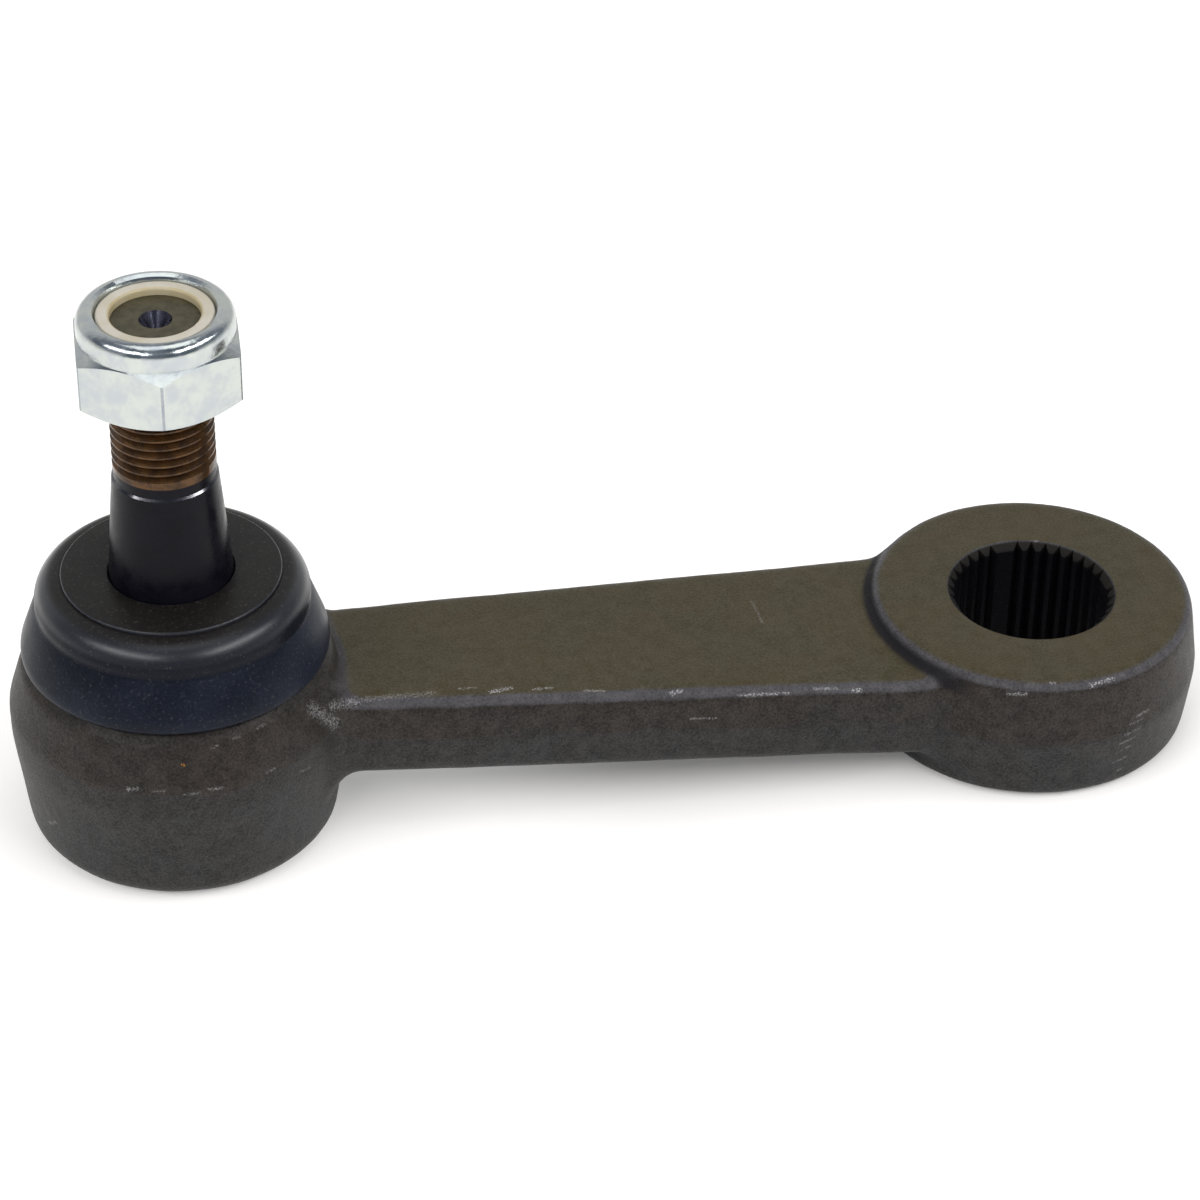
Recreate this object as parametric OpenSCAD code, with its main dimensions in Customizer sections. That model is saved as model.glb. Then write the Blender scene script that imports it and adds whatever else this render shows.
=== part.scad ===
// Pitman arm: a forged lever with a serrated eye at one end and a ball stud at the other.
// Millimetres. Origin at the centre of the serrated bore, +Z up along it, ball joint towards -X.

/* [Arm] */
// Distance from the serrated bore's axis to the ball joint's axis
centre_dist = 139.6; // [115:0.1:175]
// Width of the arm where its web to the joint housing starts
arm_w_joint = 26.2; // [20:0.1:32]
// Width of the arm where its web to the eye starts
arm_w_eye = 36.6; // [26:0.1:40]
// Thickness of the arm
arm_t = 14.8; // [9:0.1:18]
// Height of the arm's middle plane above the base, where the web to the housing starts
arm_mid_joint = 18.7; // [14:0.1:20]
// Height of the arm's middle plane above the base, where the web to the eye starts
arm_mid_eye = 12.4; // [10:0.1:13.5]
// Radius along the arm's long edges
arm_edge_r = 2.6; // [1:0.1:4]
// Radius of the web, seen from above, where the arm runs into the round ends
web_r = 8; // [3:0.5:12]
// Rise of the fillet from the arm's upper face onto the eye
eye_rise = 1.5; // [0.2:0.1:2]
// Draft of the forged walls, in degrees
draft = 6; // [2:0.5:8]

/* [Eye] */
// Radius of the eye at its parting line
eye_r = 27.7; // [24:0.1:32]
// Thickness of the eye
eye_t = 22.3; // [20:0.1:30]
// Draft of the eye's upper wall, in degrees
eye_draft_top = 8.5; // [4:0.5:10]
// Draft of the eye's lower wall, in degrees
eye_draft_low = 6; // [2:0.5:8]
// Radius of the eye's upper edge
eye_top_edge = 2; // [1:0.1:3]
// Radius of the eye's lower edge
eye_low_edge = 2; // [0.5:0.1:4]
// Radius of the bore at the tips of its teeth
tip_r = 12.55; // [10:0.05:14]
// Depth of the serrations
tooth_depth = 1.15; // [0.6:0.05:1.6]
// Included angle of each serration, in degrees
tooth_angle = 60; // [45:1:64]
// Serration pitches in the full circle
pitches = 36; // [24:4:40]
// Wide master teeth, where a serration is left out
masters = 4; // [1:1:4]
// Turn of the first master tooth from the +X direction, in degrees
master_turn = 2.5; // [-5:0.5:5]
// Chamfer at each mouth of the bore
mouth_chamfer = 1.25; // [0.8:0.05:2]

/* [Joint housing] */
// Radius of the housing at its parting line
boss_r = 26.4; // [25:0.1:30]
// Height of the housing's parting line above the base
boss_part_z = 22.8; // [19:0.1:25]
// Height of the plain land below that parting line
boss_land = 4.5; // [2:0.1:10]
// Draft of the housing's wall below the land, in degrees
boss_draft = 7; // [4:0.5:9]
// Height of the housing's upper face above the base
boss_h = 30.6; // [30:0.1:34]
// Inset of the upper face's edge from the parting line
boss_inset = 2.7; // [1.5:0.1:3.5]
// Height of the drafted band above the housing's parting line
boss_band = 0.4; // [0.2:0.1:3]
// Bevel at the edges of the upper face and of the neck
boss_bevel = 0.5; // [0.2:0.1:0.8]
// Radius of the housing's lower edge
boss_low_edge = 3.9; // [1:0.1:5]
// Height of the neck that the boot sits on
neck_h = 2.2; // [1.5:0.1:3]
// Width of the upper face around that neck
neck_step = 4.3; // [3.5:0.1:5]
// Thickness of the rolled lip that holds the end cover
lip_t = 0.9; // [0.6:0.1:1.6]
// Overhang of the rolled lip over the end cover
lip_over = 1.1; // [0.6:0.1:2]

/* [Ball stud] */
// Radius of the ball
ball_r = 13; // [12:0.1:14]
// Height of the ball centre above the flat under the ball
ball_flat = 11; // [9:0.1:11.8]
// Radius of the waist between ball and taper
waist_r = 7.5; // [6:0.1:8]
// Height of the flare between waist and taper
flare_h = 5; // [3:0.1:6]
// Height from the housing's upper face to the large end of the taper
taper_z = 11.4; // [10:0.1:13]
// Length of the taper
taper_len = 22.2; // [16:0.1:28]
// Taper, as length for one unit of diameter
taper_ratio = 6; // [5:0.5:10]
// Radius of the taper's small end
taper_small_r = 8.1; // [8:0.05:9]
// Length of the straight land below the taper
land_len = 1; // [0.5:0.1:2]
// Break of the edge at the taper's small end
taper_edge = 0.3; // [0.1:0.05:0.5]
// Length of the bevel between taper and thread
bevel_len = 1.7; // [0.5:0.1:3]
// Radius of the thread over its crests
thread_r = 7.85; // [6:0.05:7.9]
// Length of the thread
thread_len = 25.1; // [20:0.1:32]
// Bevel at the thread's free end
thread_end = 1.2; // [0.4:0.1:1.5]
// Radius of the centre hole in the free end
centre_r = 2.5; // [1.5:0.1:3]
// Radius of the pilot drilling at the bottom of the centre hole
pilot_r = 1; // [0.5:0.1:1.4]
// Depth of the pilot drilling below the centre hole's cone
pilot_len = 1.5; // [0.5:0.1:3]
// Rock of the stud to each side, in degrees
rock = 20; // [10:1:22]

/* [Bearings and cover] */
// Wall of the ball seat and of the pressure cup
seat_t = 3.5; // [2.5:0.1:4]
// Height of the pressure cup's rim below the ball centre
cup_rim = 4; // [2:0.1:6]
// Gap between the rims of ball seat and pressure cup
bearing_split = 1; // [0.5:0.1:1.8]
// Angle to spare between the rocking waist and the ball seat's mouth, in degrees
seat_spare = 3; // [1:0.5:6]
// Angle by which the housing's dome reaches past the ball seat's mouth, in degrees
dome_lap = 8; // [4:0.5:12]
// Floor of the pressure cup
cup_floor = 2.2; // [1.5:0.1:3]
// Radius of the grease hole in the pressure cup
cup_hole_r = 5; // [3:0.1:6]
// Height of the preload spring
spring_h = 2.4; // [1.6:0.1:3]
// Thickness of the preload spring's blank
spring_t = 1.2; // [0.6:0.1:1.5]
// Radius of the preload spring
spring_r = 13.5; // [9:0.1:14]
// Radius of the hole in the preload spring
spring_hole_r = 6.5; // [4:0.1:7]
// Thickness of the end cover
cover_t = 2.5; // [1.5:0.1:3]
// Radius of the end cover
cover_r = 18.4; // [17.6:0.1:19]
// Radius of the end cover's dished middle
dish_r = 12; // [8:0.1:14]
// Depth of that dish
dish_d = 0.8; // [0.3:0.1:1.2]

/* [Dust boot] */
// Height of the boot above the housing's upper face
boot_h = 15.7; // [13:0.1:18]
// Overhang of the boot's lip past the edge of the housing's upper face
boot_over = 0.2; // [0.1:0.05:0.5]
// Bevel under the lip
boot_undercut = 0.4; // [0.2:0.1:0.8]
// Height of the lip
boot_lip_h = 2; // [1:0.1:3]
// Radius of the bulge above the lip
boot_bulge_r = 2.5; // [2:0.5:6]
// Flare of the skirt, in degrees from upright
boot_flare = 42; // [30:1:48]
// Radius of the hollow between skirt and cap
boot_hollow_r = 5; // [3:0.5:8]
// Lean of the cap's side, in degrees from upright
boot_lean = 8; // [2:0.5:12]
// Step from the lip in to the boot's cap
boot_step = 2.7; // [2.4:0.1:3.5]
// Radius of the cap's rounded shoulder
boot_shoulder = 4; // [2:0.1:4.5]
// Fall of the cap's rim towards its shoulder, in degrees
boot_fall = 8; // [4:1:20]
// Width of the cap's rim around its raised disc
boot_rim = 4.2; // [3.6:0.1:6]
// Height of the raised disc
boot_disc_h = 0.6; // [0.2:0.1:1]
// Wall of the boot
boot_wall = 2.2; // [1.5:0.1:2.6]
// Break of the edges of the disc and of the stud's hole
boot_edge = 0.4; // [0.2:0.1:0.6]

/* [Lock nut] */
// Width of the nut across its flats
nut_af = 24; // [22:0.1:27]
// Height of the nut
nut_h = 13.8; // [12:0.1:17]
// Height of the nut's hexagon
hex_h = 9.8; // [8:0.1:10.5]
// Angle of the chamfers on the hexagon's corners, in degrees
hex_chamfer = 30; // [20:1:35]
// Inset of the nut's lower face from its flats
nut_face = 0.4; // [0.1:0.1:1]
// Countersink at the thread's lower mouth
nut_mouth = 0.9; // [0.4:0.1:1.2]
// Radius of the nut's collar
collar_r = 11.8; // [10.8:0.1:11.9]
// Rounding of the collar's crimped rim
crimp_r = 2; // [1:0.1:2.2]
// Radius of the mouth of the crimped rim
crimp_mouth_r = 8.9; // [8.6:0.1:9.2]
// Slope of the rim's underside, over the insert
rim_slope = 0.5; // [0.3:0.1:0.8]
// Bevel at the rim's inner edge
rim_bevel = 0.3; // [0.1:0.05:0.4]
// Thickness of the rim's inner edge
rim_edge = 0.2; // [0.1:0.05:0.4]
// Lap of the insert under the rim
insert_lap = 0.8; // [0.5:0.1:1]
// Depth of the insert's seat below the hexagon's top
insert_sink = 1.2; // [0.5:0.1:3]
// Room between the insert and the rim's underside
insert_room = 0.2; // [0.1:0.05:0.5]
// Width of the insert's flat top ring
insert_land = 0.4; // [0.1:0.1:0.6]
// Depth of the insert's inner bevel
insert_slope = 0.8; // [0.3:0.1:1.2]
// Height of the nut's top above the stud's free end
nut_over = 2; // [0:0.1:4]
// Turn of the hexagon about the stud, in degrees
nut_turn = 26; // [0:1:60]

/* [Clearances] */
// Gap between ball and bearings
ball_gap = 0.08; // [0.05:0.01:0.2]
// Gap between ball seat and housing
seat_gap = 0.06; // [0.03:0.01:0.2]
// Gap between pressure cup and housing
cup_gap = 0.1; // [0.05:0.01:0.3]
// Gap around the end cover's rim
cover_gap = 0.1; // [0.05:0.01:0.3]
// Gap between boot and what it grips
boot_gap = 0.2; // [0.1:0.01:0.5]
// Room around the rocking waist in the housing's mouth
rock_gap = 0.8; // [0.4:0.1:1.5]
// Gap between thread crests and nut
thread_gap = 0.1; // [0.05:0.01:0.2]
// Gap between nylon insert and nut
insert_gap = 0.05; // [0.02:0.01:0.1]

/* [Hidden] */
$fn = 96;
// Overlap that makes a cut pass through a face
cut = 1;
// Segments in a quarter of a rounded edge
arc_n = 6;

// The base is the plane that the eye and the housing both stand on
base_z = -eye_t/2;

// Heights below are above the base
cover_z = lip_t;
spring_z = cover_z + cover_t;
cup_z = spring_z + spring_h;
ball_z = cup_z + cup_floor + ball_flat;
taper_low_z = boss_h + taper_z;
waist_z = taper_low_z - land_len - flare_h;
taper_top_z = taper_low_z + taper_len;
thread_z = taper_top_z + bevel_len;
stud_top_z = thread_z + thread_len;
nut_z = stud_top_z + nut_over - nut_h;
neck_z = boss_h + neck_h;
boss_land_z = boss_part_z - boss_land;
boot_top_z = boss_h + boot_h;

// Radii that follow from what fits inside
taper_big_r = taper_small_r + taper_len/(2*taper_ratio);
seat_in_r = ball_r + ball_gap;
seat_out_r = seat_in_r + seat_t;
dome_r = seat_out_r + seat_gap;
cup_out_r = dome_r - cup_gap;
cover_seat_r = cover_r + cover_gap;
// Polar angle of the ball seat's mouth, which the rocking waist clears
seat_mouth = asin(waist_r/ball_r) + rock + seat_spare;
boss_top_r = boss_r - boss_inset;
neck_r = boss_top_r - neck_step;
boot_hole_r = taper_r(boot_top_z - boot_wall) + boot_gap;
boot_foot_in_r = neck_r + boot_gap;
boot_lip_r = boss_top_r + boot_over;
boot_cap_r = boot_lip_r - boot_step;
boot_disc_r = boot_cap_r - boot_rim;
nut_bore_r = thread_r + thread_gap;
insert_r = crimp_mouth_r + insert_lap;
insert_z = nut_z + hex_h - insert_sink;
rim_z = nut_z + nut_h - crimp_r/2;
rim_under_z = rim_z - rim_edge;
insert_top_z = rim_under_z - insert_room;
hex_flat_r = nut_af/2;
hex_corner_r = hex_flat_r/cos(30);

// Radius of the stud's taper at a height above the base
function taper_r(z) = taper_big_r - (z - taper_low_z)/(2*taper_ratio);
// Radius of the housing's mouth that clears the rocking waist at a height above the base
function mouth_r(z) = (z - ball_z)*tan(rock) + waist_r/cos(rock) + rock_gap;
// Points of an arc
function arc(cx, cy, r, from, to, n = arc_n) =
    [for (i = [0:n]) let (a = from + (to - from)*i/n) [cx + r*cos(a), cy + r*sin(a)]];

// Points of one half of a forged round end: drafted walls, parting line and rounded edges.
// A wall with draft d meets a flat face, so the edge's arc starts d away from the level.
function edge_top(r, z, e, d = draft) =
    arc(r - e*(1 - sin(d))/cos(d), z - e, e, d, 90);
function edge_low(r, z, e, d = draft) =
    arc(r - e*(1 - sin(d))/cos(d), z + e, e, -90, -d);

module at_joint() {
    translate([-centre_dist, 0, base_z]) children();
}

// Arm

// Radius of each round end's wall at the arm's edge farthest from the parting line
boss_wall_r = boss_r - max(0, boss_land_z - arm_mid_joint + arm_t/2)*tan(boss_draft);
eye_wall_r = eye_r - arm_t/2*tan(eye_draft_top);
// Distance along the arm from a round end's centre to where the web's arc leaves the arm's side
function web_start(r, half) = sqrt(pow(r + web_r, 2) - pow(half + web_r, 2));
// Angle of that arc up to the point where it would touch the wall
function web_angle(r, half) = asin(web_start(r, half)/(r + web_r));
// Half width and middle height of the arm at x
arm_x_joint = -centre_dist + web_start(boss_wall_r, arm_w_joint/2);
arm_x_eye = -web_start(eye_wall_r, arm_w_eye/2);
function along(x) = (x - arm_x_joint)/(arm_x_eye - arm_x_joint);
function arm_half(x) = (arm_w_joint + (arm_w_eye - arm_w_joint)*along(x))/2;
function arm_mid(x) = base_z + arm_mid_joint + (arm_mid_eye - arm_mid_joint)*along(x);

// Stations along each web, stations of the plain arm, and angle left before a web would touch its wall
web_n = 6;
plain_n = 6;
web_left = 8;
// Depths of the two stations inside each round end, and how much narrower they are
inside = [1.5, 3.5];
inside_in = [1, 3];
// A station is [distance from the round end's centre, half width, share of the fillet's full rise]
function web_station(r, half, i) =
    let (a = (web_angle(r, half) - web_left)*i/web_n,
        off = web_start(r, half) - web_r*sin(a), wide = half + web_r*(1 - cos(a)),
        d = norm([off, wide]), far = norm([web_start(r, half), half]),
        near = (far - d)/(far - r))
    [d, wide, 1 - sqrt(1 - near*near)];
function inside_station(r, half, k) =
    let (last = web_station(r, half, web_n)) [r - inside[k], last[1] - inside_in[k], 0];
function web_rise(r, half) = norm([web_start(r, half), half]) - r;
// Place across the arm, u off its middle, of a station whose middle is at x: an arc about the housing's
// axis near the housing (bow 0) and about the eye's axis near the eye (bow 1)
function bowed(x, u, bow) =
    (bow - 1)*(centre_dist - sqrt(pow(x + centre_dist, 2) - u*u)) - bow*sqrt(x*x - u*u);
// Ring of the loft: flat faces, rounded long edges, drafted sides with a parting line
function arm_ring(x, half, up, down, bow) =
    let (h = arm_t/2, upper = edge_top(half, h + up, arm_edge_r),
        lower = edge_low(half, -h - down, arm_edge_r),
        side = concat(lower, [[half + h*tan(draft), 0]], upper), k = len(side) - 1,
        outline = concat(side, [for (i = [0:k]) [-side[k - i][0], side[k - i][1]]]))
    [for (p = outline) let (px = bowed(x, p[0], bow)) [px, p[0], arm_mid(px) + p[1]]];
function joint_ring(s) =
    let (rise = s[2]*web_rise(boss_wall_r, arm_w_joint/2))
    arm_ring(s[0] - centre_dist, s[1], rise, rise, 0);
function eye_ring(s) = arm_ring(-s[0], s[1], s[2]*eye_rise, s[2]*web_rise(eye_wall_r, arm_w_eye/2), 1);
// Rings from inside the housing, along its web, the plain arm and the eye's web, to inside the eye
function arm_rings() =
    let (jh = arm_w_joint/2, eh = arm_w_eye/2,
        from = web_station(boss_wall_r, jh, 0)[0] - centre_dist, to = -web_station(eye_wall_r, eh, 0)[0])
    concat([for (k = [1, 0]) joint_ring(inside_station(boss_wall_r, jh, k))],
        [for (i = [0:web_n]) joint_ring(web_station(boss_wall_r, jh, web_n - i))],
        [for (i = [1:plain_n - 1]) let (t = i/plain_n, x = from + (to - from)*t)
            arm_ring(x, arm_half(x), 0, 0, t*t*(3 - 2*t))],
        [for (i = [0:web_n]) eye_ring(web_station(eye_wall_r, eh, i))],
        [for (k = [0, 1]) eye_ring(inside_station(eye_wall_r, eh, k))]);

module arm_loft() {
    rings = arm_rings();
    n = len(rings[0]);
    m = len(rings);
    sides = [for (i = [0:m - 2], j = [0:n - 1])
        [(i + 1)*n + j, (i + 1)*n + (j + 1)%n, i*n + (j + 1)%n, i*n + j]];
    ends = [[for (j = [0:n - 1]) j], [for (j = [0:n - 1]) m*n - 1 - j]];
    polyhedron([for (r = rings) each r], concat(sides, ends));
}

// Eye

module eye_blank() {
    top_r = eye_r - eye_t/2*tan(eye_draft_top);
    low_r = eye_r - eye_t/2*tan(eye_draft_low);
    rotate_extrude()
        polygon(concat([[0, -eye_t/2]], edge_low(low_r, -eye_t/2, eye_low_edge, eye_draft_low), [[eye_r, 0]],
            edge_top(top_r, eye_t/2, eye_top_edge, eye_draft_top), [[0, eye_t/2]]));
}

// Outline of the serrated bore: tooth tips on a circle, V grooves between them
module serration_outline() {
    root_r = tip_r + tooth_depth;
    inner = tip_r - tooth_depth/2;
    half = (root_r - inner)*tan(tooth_angle/2);
    circle(tip_r);
    for (i = [0:pitches - 1])
        if (i % (pitches/masters) != 0)
            rotate(master_turn + i*360/pitches)
                polygon([[inner, -half], [root_r, 0], [inner, half]]);
}

module serrated_bore() {
    mouth_r = tip_r + mouth_chamfer;
    translate([0, 0, -eye_t/2 - cut])
        linear_extrude(eye_t + 2*cut) serration_outline();
    for (s = [0, 1])
        mirror([0, 0, s]) translate([0, 0, eye_t/2 - mouth_chamfer])
            cylinder(h = mouth_chamfer + cut, r1 = tip_r, r2 = mouth_r + cut);
}

// Joint housing

module boss_blank() {
    low_r = boss_r - boss_land_z*tan(boss_draft);
    band_z = boss_part_z + boss_band;
    band_r = boss_r - boss_band*tan(draft);
    rotate_extrude()
        polygon(concat([[0, 0]], edge_low(low_r, 0, boss_low_edge, boss_draft),
            [[boss_r, boss_land_z], [boss_r, boss_part_z]],
            [[band_r, band_z], [boss_top_r + boss_bevel, boss_h - boss_bevel], [boss_top_r, boss_h]],
            [[neck_r, boss_h], [neck_r, neck_z - boss_bevel], [neck_r - boss_bevel, neck_z], [0, neck_z]]));
}

// Socket: cover seat, cylinder, dome, and a mouth that the rocking waist clears
module boss_socket() {
    mouth_low = ball_z + ball_r/2;
    rotate_extrude()
        union() {
            translate([0, -cut]) square([cover_r - lip_over, lip_t + 2*cut]);
            translate([0, cover_z]) square([cover_seat_r, cover_t]);
            translate([0, cover_z]) square([dome_r, ball_z - cover_z]);
            intersection() {
                translate([0, ball_z]) circle(dome_r);
                translate([0, ball_z]) square([dome_r, dome_r*cos(seat_mouth - dome_lap)]);
            }
            polygon([[0, mouth_low], [mouth_r(mouth_low), mouth_low],
                [mouth_r(neck_z + cut), neck_z + cut], [0, neck_z + cut]]);
        }
}

module arm_forging() {
    color([0.30, 0.29, 0.24])
        difference() {
            union() {
                arm_loft();
                eye_blank();
                at_joint() boss_blank();
            }
            serrated_bore();
            at_joint() boss_socket();
        }
}

// Ball stud

module ball_stud() {
    pilot_z = stud_top_z - centre_r;
    shank = concat(
        [[0, ball_z], [waist_r, ball_z], [waist_r, waist_z]],
        [[taper_big_r, taper_low_z - land_len], [taper_big_r, taper_low_z]],
        [[taper_small_r, taper_top_z - taper_edge], [taper_small_r - taper_edge, taper_top_z]],
        [[thread_r, thread_z], [thread_r, stud_top_z - thread_end]],
        [[thread_r - thread_end, stud_top_z], [centre_r, stud_top_z]],
        [[pilot_r, pilot_z], [pilot_r, pilot_z - pilot_len], [0, pilot_z - pilot_len - pilot_r/2]]);
    color([0.16, 0.16, 0.18])
        at_joint()
            rotate_extrude()
                union() {
                    intersection() {
                        translate([0, ball_z]) circle(ball_r);
                        translate([0, ball_z - ball_flat]) square([ball_r, ball_flat + ball_r]);
                    }
                    polygon(shank);
                }
}

// Bearings, spring and cover

module upper_bearing() {
    rim_z = ball_z - cup_rim + bearing_split;
    mouth_z = ball_z + seat_in_r*cos(seat_mouth);
    color([0.82, 0.80, 0.72])
        at_joint()
            rotate_extrude()
                difference() {
                    union() {
                        intersection() {
                            translate([0, ball_z]) circle(seat_out_r);
                            translate([0, ball_z]) square([seat_out_r, mouth_z - ball_z]);
                        }
                        translate([0, rim_z]) square([seat_out_r, ball_z - rim_z]);
                    }
                    translate([0, ball_z]) circle(seat_in_r);
                    translate([0, rim_z - cut]) square([seat_in_r, ball_z - rim_z + cut]);
                }
}

module lower_bearing() {
    rim_z = ball_z - cup_rim;
    color([0.55, 0.55, 0.53])
        at_joint()
            rotate_extrude()
                difference() {
                    translate([cup_hole_r, cup_z]) square([cup_out_r - cup_hole_r, rim_z - cup_z]);
                    translate([0, ball_z]) circle(seat_in_r);
                }
}

module preload_spring() {
    color([0.45, 0.45, 0.47])
        at_joint()
            rotate_extrude()
                polygon([[spring_r, spring_z], [spring_r, spring_z + spring_t],
                    [spring_hole_r, spring_z + spring_h], [spring_hole_r, spring_z + spring_h - spring_t]]);
}

module end_cover() {
    color([0.33, 0.32, 0.30])
        at_joint()
            rotate_extrude()
                polygon([[0, cover_z + dish_d], [dish_r, cover_z + dish_d], [dish_r + dish_d, cover_z],
                    [cover_r, cover_z], [cover_r, spring_z], [0, spring_z]]);
}

// Dust boot

module dust_boot() {
    foot_z = boss_h;
    lip_z = foot_z + boot_lip_h;
    disc_z = boot_top_z - boot_disc_h;
    bulge_r = boot_lip_r - boot_bulge_r;
    reach = boot_bulge_r + boot_hollow_r;
    hollow_r = bulge_r + reach*cos(boot_flare);
    hollow_z = lip_z + reach*sin(boot_flare);
    shoulder_r = boot_cap_r - boot_shoulder*cos(boot_lean);
    rim_r = shoulder_r + boot_shoulder*sin(boot_fall);
    rim_z = disc_z - (rim_r - boot_disc_r)*tan(boot_fall);
    shoulder_z = rim_z - boot_shoulder*cos(boot_fall);
    outer = concat([[boot_foot_in_r, foot_z], [boot_lip_r - boot_undercut, foot_z]],
        [[boot_lip_r, foot_z + boot_undercut]],
        arc(bulge_r, lip_z, boot_bulge_r, 0, boot_flare),
        arc(hollow_r, hollow_z, boot_hollow_r, 180 + boot_flare, 180 + boot_lean),
        arc(shoulder_r, shoulder_z, boot_shoulder, boot_lean, 90 - boot_fall),
        [[boot_disc_r, disc_z], [boot_disc_r - boot_edge, boot_top_z]],
        [[boot_hole_r + boot_edge, boot_top_z], [boot_hole_r, boot_top_z - boot_edge]]);
    inner = [[boot_hole_r, disc_z - boot_wall], [boot_disc_r - boot_wall, disc_z - boot_wall],
        [boot_cap_r - boot_wall, shoulder_z - boot_wall], [boot_cap_r - boot_wall, hollow_z - boot_wall],
        [boot_foot_in_r + boot_edge, lip_z], [boot_foot_in_r, foot_z + neck_h/2]];
    color([0.13, 0.13, 0.14])
        at_joint()
            rotate_extrude()
                polygon(concat(outer, inner));
}

// Lock nut

module nut_blank() {
    slope = tan(hex_chamfer);
    intersection() {
        rotate(nut_turn) cylinder(h = hex_h + cut, r = hex_corner_r, $fn = 6);
        rotate_extrude()
            polygon([[0, 0], [hex_flat_r - nut_face, 0],
                [hex_corner_r, (hex_corner_r - hex_flat_r + nut_face)*slope],
                [hex_corner_r, hex_h - (hex_corner_r - collar_r)*slope],
                [collar_r - cut, hex_h + cut*slope], [0, hex_h + cut*slope]]);
    }
    rotate_extrude()
        polygon(concat([[0, hex_h/2], [collar_r, hex_h/2]],
            arc(collar_r - crimp_r, nut_h - crimp_r, crimp_r, 0, 90),
            [[crimp_mouth_r + rim_bevel, nut_h - rim_bevel], [crimp_mouth_r, rim_z - nut_z]],
            [[0, rim_z - nut_z]]));
}

module lock_nut() {
    color([0.82, 0.84, 0.83])
        at_joint()
            difference() {
                translate([0, 0, nut_z]) nut_blank();
                rotate_extrude()
                    polygon([[0, nut_z - cut], [nut_bore_r + nut_mouth + cut, nut_z - cut],
                        [nut_bore_r, nut_z + nut_mouth], [nut_bore_r, insert_z], [insert_r, insert_z],
                        [insert_r, rim_under_z - rim_slope], [crimp_mouth_r, rim_under_z],
                        [crimp_mouth_r, nut_z + nut_h + cut], [0, nut_z + nut_h + cut]]);
            }
}

module nylon_insert() {
    low_z = insert_z + insert_gap;
    out_r = insert_r - insert_gap;
    color([0.80, 0.76, 0.66])
        at_joint()
            rotate_extrude()
                polygon([[nut_bore_r, low_z], [out_r, low_z], [out_r, insert_top_z - rim_slope],
                    [crimp_mouth_r, insert_top_z], [crimp_mouth_r - insert_land, insert_top_z],
                    [nut_bore_r, insert_top_z - insert_slope]]);
}

arm_forging();
ball_stud();
upper_bearing();
lower_bearing();
preload_spring();
end_cover();
dust_boot();
lock_nut();
nylon_insert();
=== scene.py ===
"""Looks of a forged pitman arm: serrated eye, booted ball stud and zinc lock nut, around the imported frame."""
import logging
import math
from contextlib import contextmanager
from dataclasses import dataclass, replace
from enum import Enum
from functools import cache
from typing import Any, Callable, Iterator, Sequence

import bpy
from mathutils import Matrix, Vector


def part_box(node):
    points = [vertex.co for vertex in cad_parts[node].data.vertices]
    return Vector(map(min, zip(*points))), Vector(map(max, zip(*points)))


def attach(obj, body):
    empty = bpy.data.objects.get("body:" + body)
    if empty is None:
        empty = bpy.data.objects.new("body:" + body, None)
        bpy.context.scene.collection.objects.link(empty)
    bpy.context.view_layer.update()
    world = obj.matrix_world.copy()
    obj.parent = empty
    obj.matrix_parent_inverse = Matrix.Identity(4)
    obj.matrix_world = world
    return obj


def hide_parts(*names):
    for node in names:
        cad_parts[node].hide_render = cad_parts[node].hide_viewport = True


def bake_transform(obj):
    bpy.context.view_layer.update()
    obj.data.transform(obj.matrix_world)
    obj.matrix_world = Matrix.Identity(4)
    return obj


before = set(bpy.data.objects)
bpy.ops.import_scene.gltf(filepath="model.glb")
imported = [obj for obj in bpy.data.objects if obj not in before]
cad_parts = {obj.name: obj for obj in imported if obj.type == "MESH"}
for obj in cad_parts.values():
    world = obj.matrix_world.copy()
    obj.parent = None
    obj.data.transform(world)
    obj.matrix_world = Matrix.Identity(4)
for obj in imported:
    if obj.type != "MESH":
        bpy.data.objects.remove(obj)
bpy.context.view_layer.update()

LOG = logging.getLogger("pitman_arm")
MM = 0.001
FULL_TURN = 2 * math.pi
Point = tuple[float, float]
Range = tuple[float, float]
Colour = tuple[float, float, float]
Place = tuple[float, float, float]


class Cut(Enum):
    """How one solid is combined with another."""

    JOIN = "UNION"
    REMOVE = "DIFFERENCE"
    KEEP_SHARED = "INTERSECT"


class Zone(Enum):
    """Zones of the stud, in the order of its finishes."""

    PLAIN = 0
    THREAD = 1
    END_FACE = 2
    CENTRE_HOLE = 3
    BEVEL = 4


@dataclass(frozen=True)
class Datum:
    """Places that the pieces are built from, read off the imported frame, in metres."""

    joint_x: float
    base_z: float
    eye_top_z: float
    stud_top_z: float
    nut_low_z: float
    nut_top_z: float
    boot_low_z: float
    boot_top_z: float

    @classmethod
    def read(cls) -> "Datum":
        """Takes the places from the boxes of the CAD nodes.

        Returns:
            The datum of this pack.
        """
        boot_low, boot_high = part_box("dust_boot")
        nut_low, nut_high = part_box("lock_nut")
        base_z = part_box("arm_forging")[0].z
        return cls(
            joint_x=(boot_low.x + boot_high.x) / 2,
            base_z=base_z,
            eye_top_z=-base_z,
            stud_top_z=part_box("ball_stud")[1].z,
            nut_low_z=nut_low.z,
            nut_top_z=nut_high.z,
            boot_low_z=boot_low.z,
            boot_top_z=boot_high.z,
        )


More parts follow.
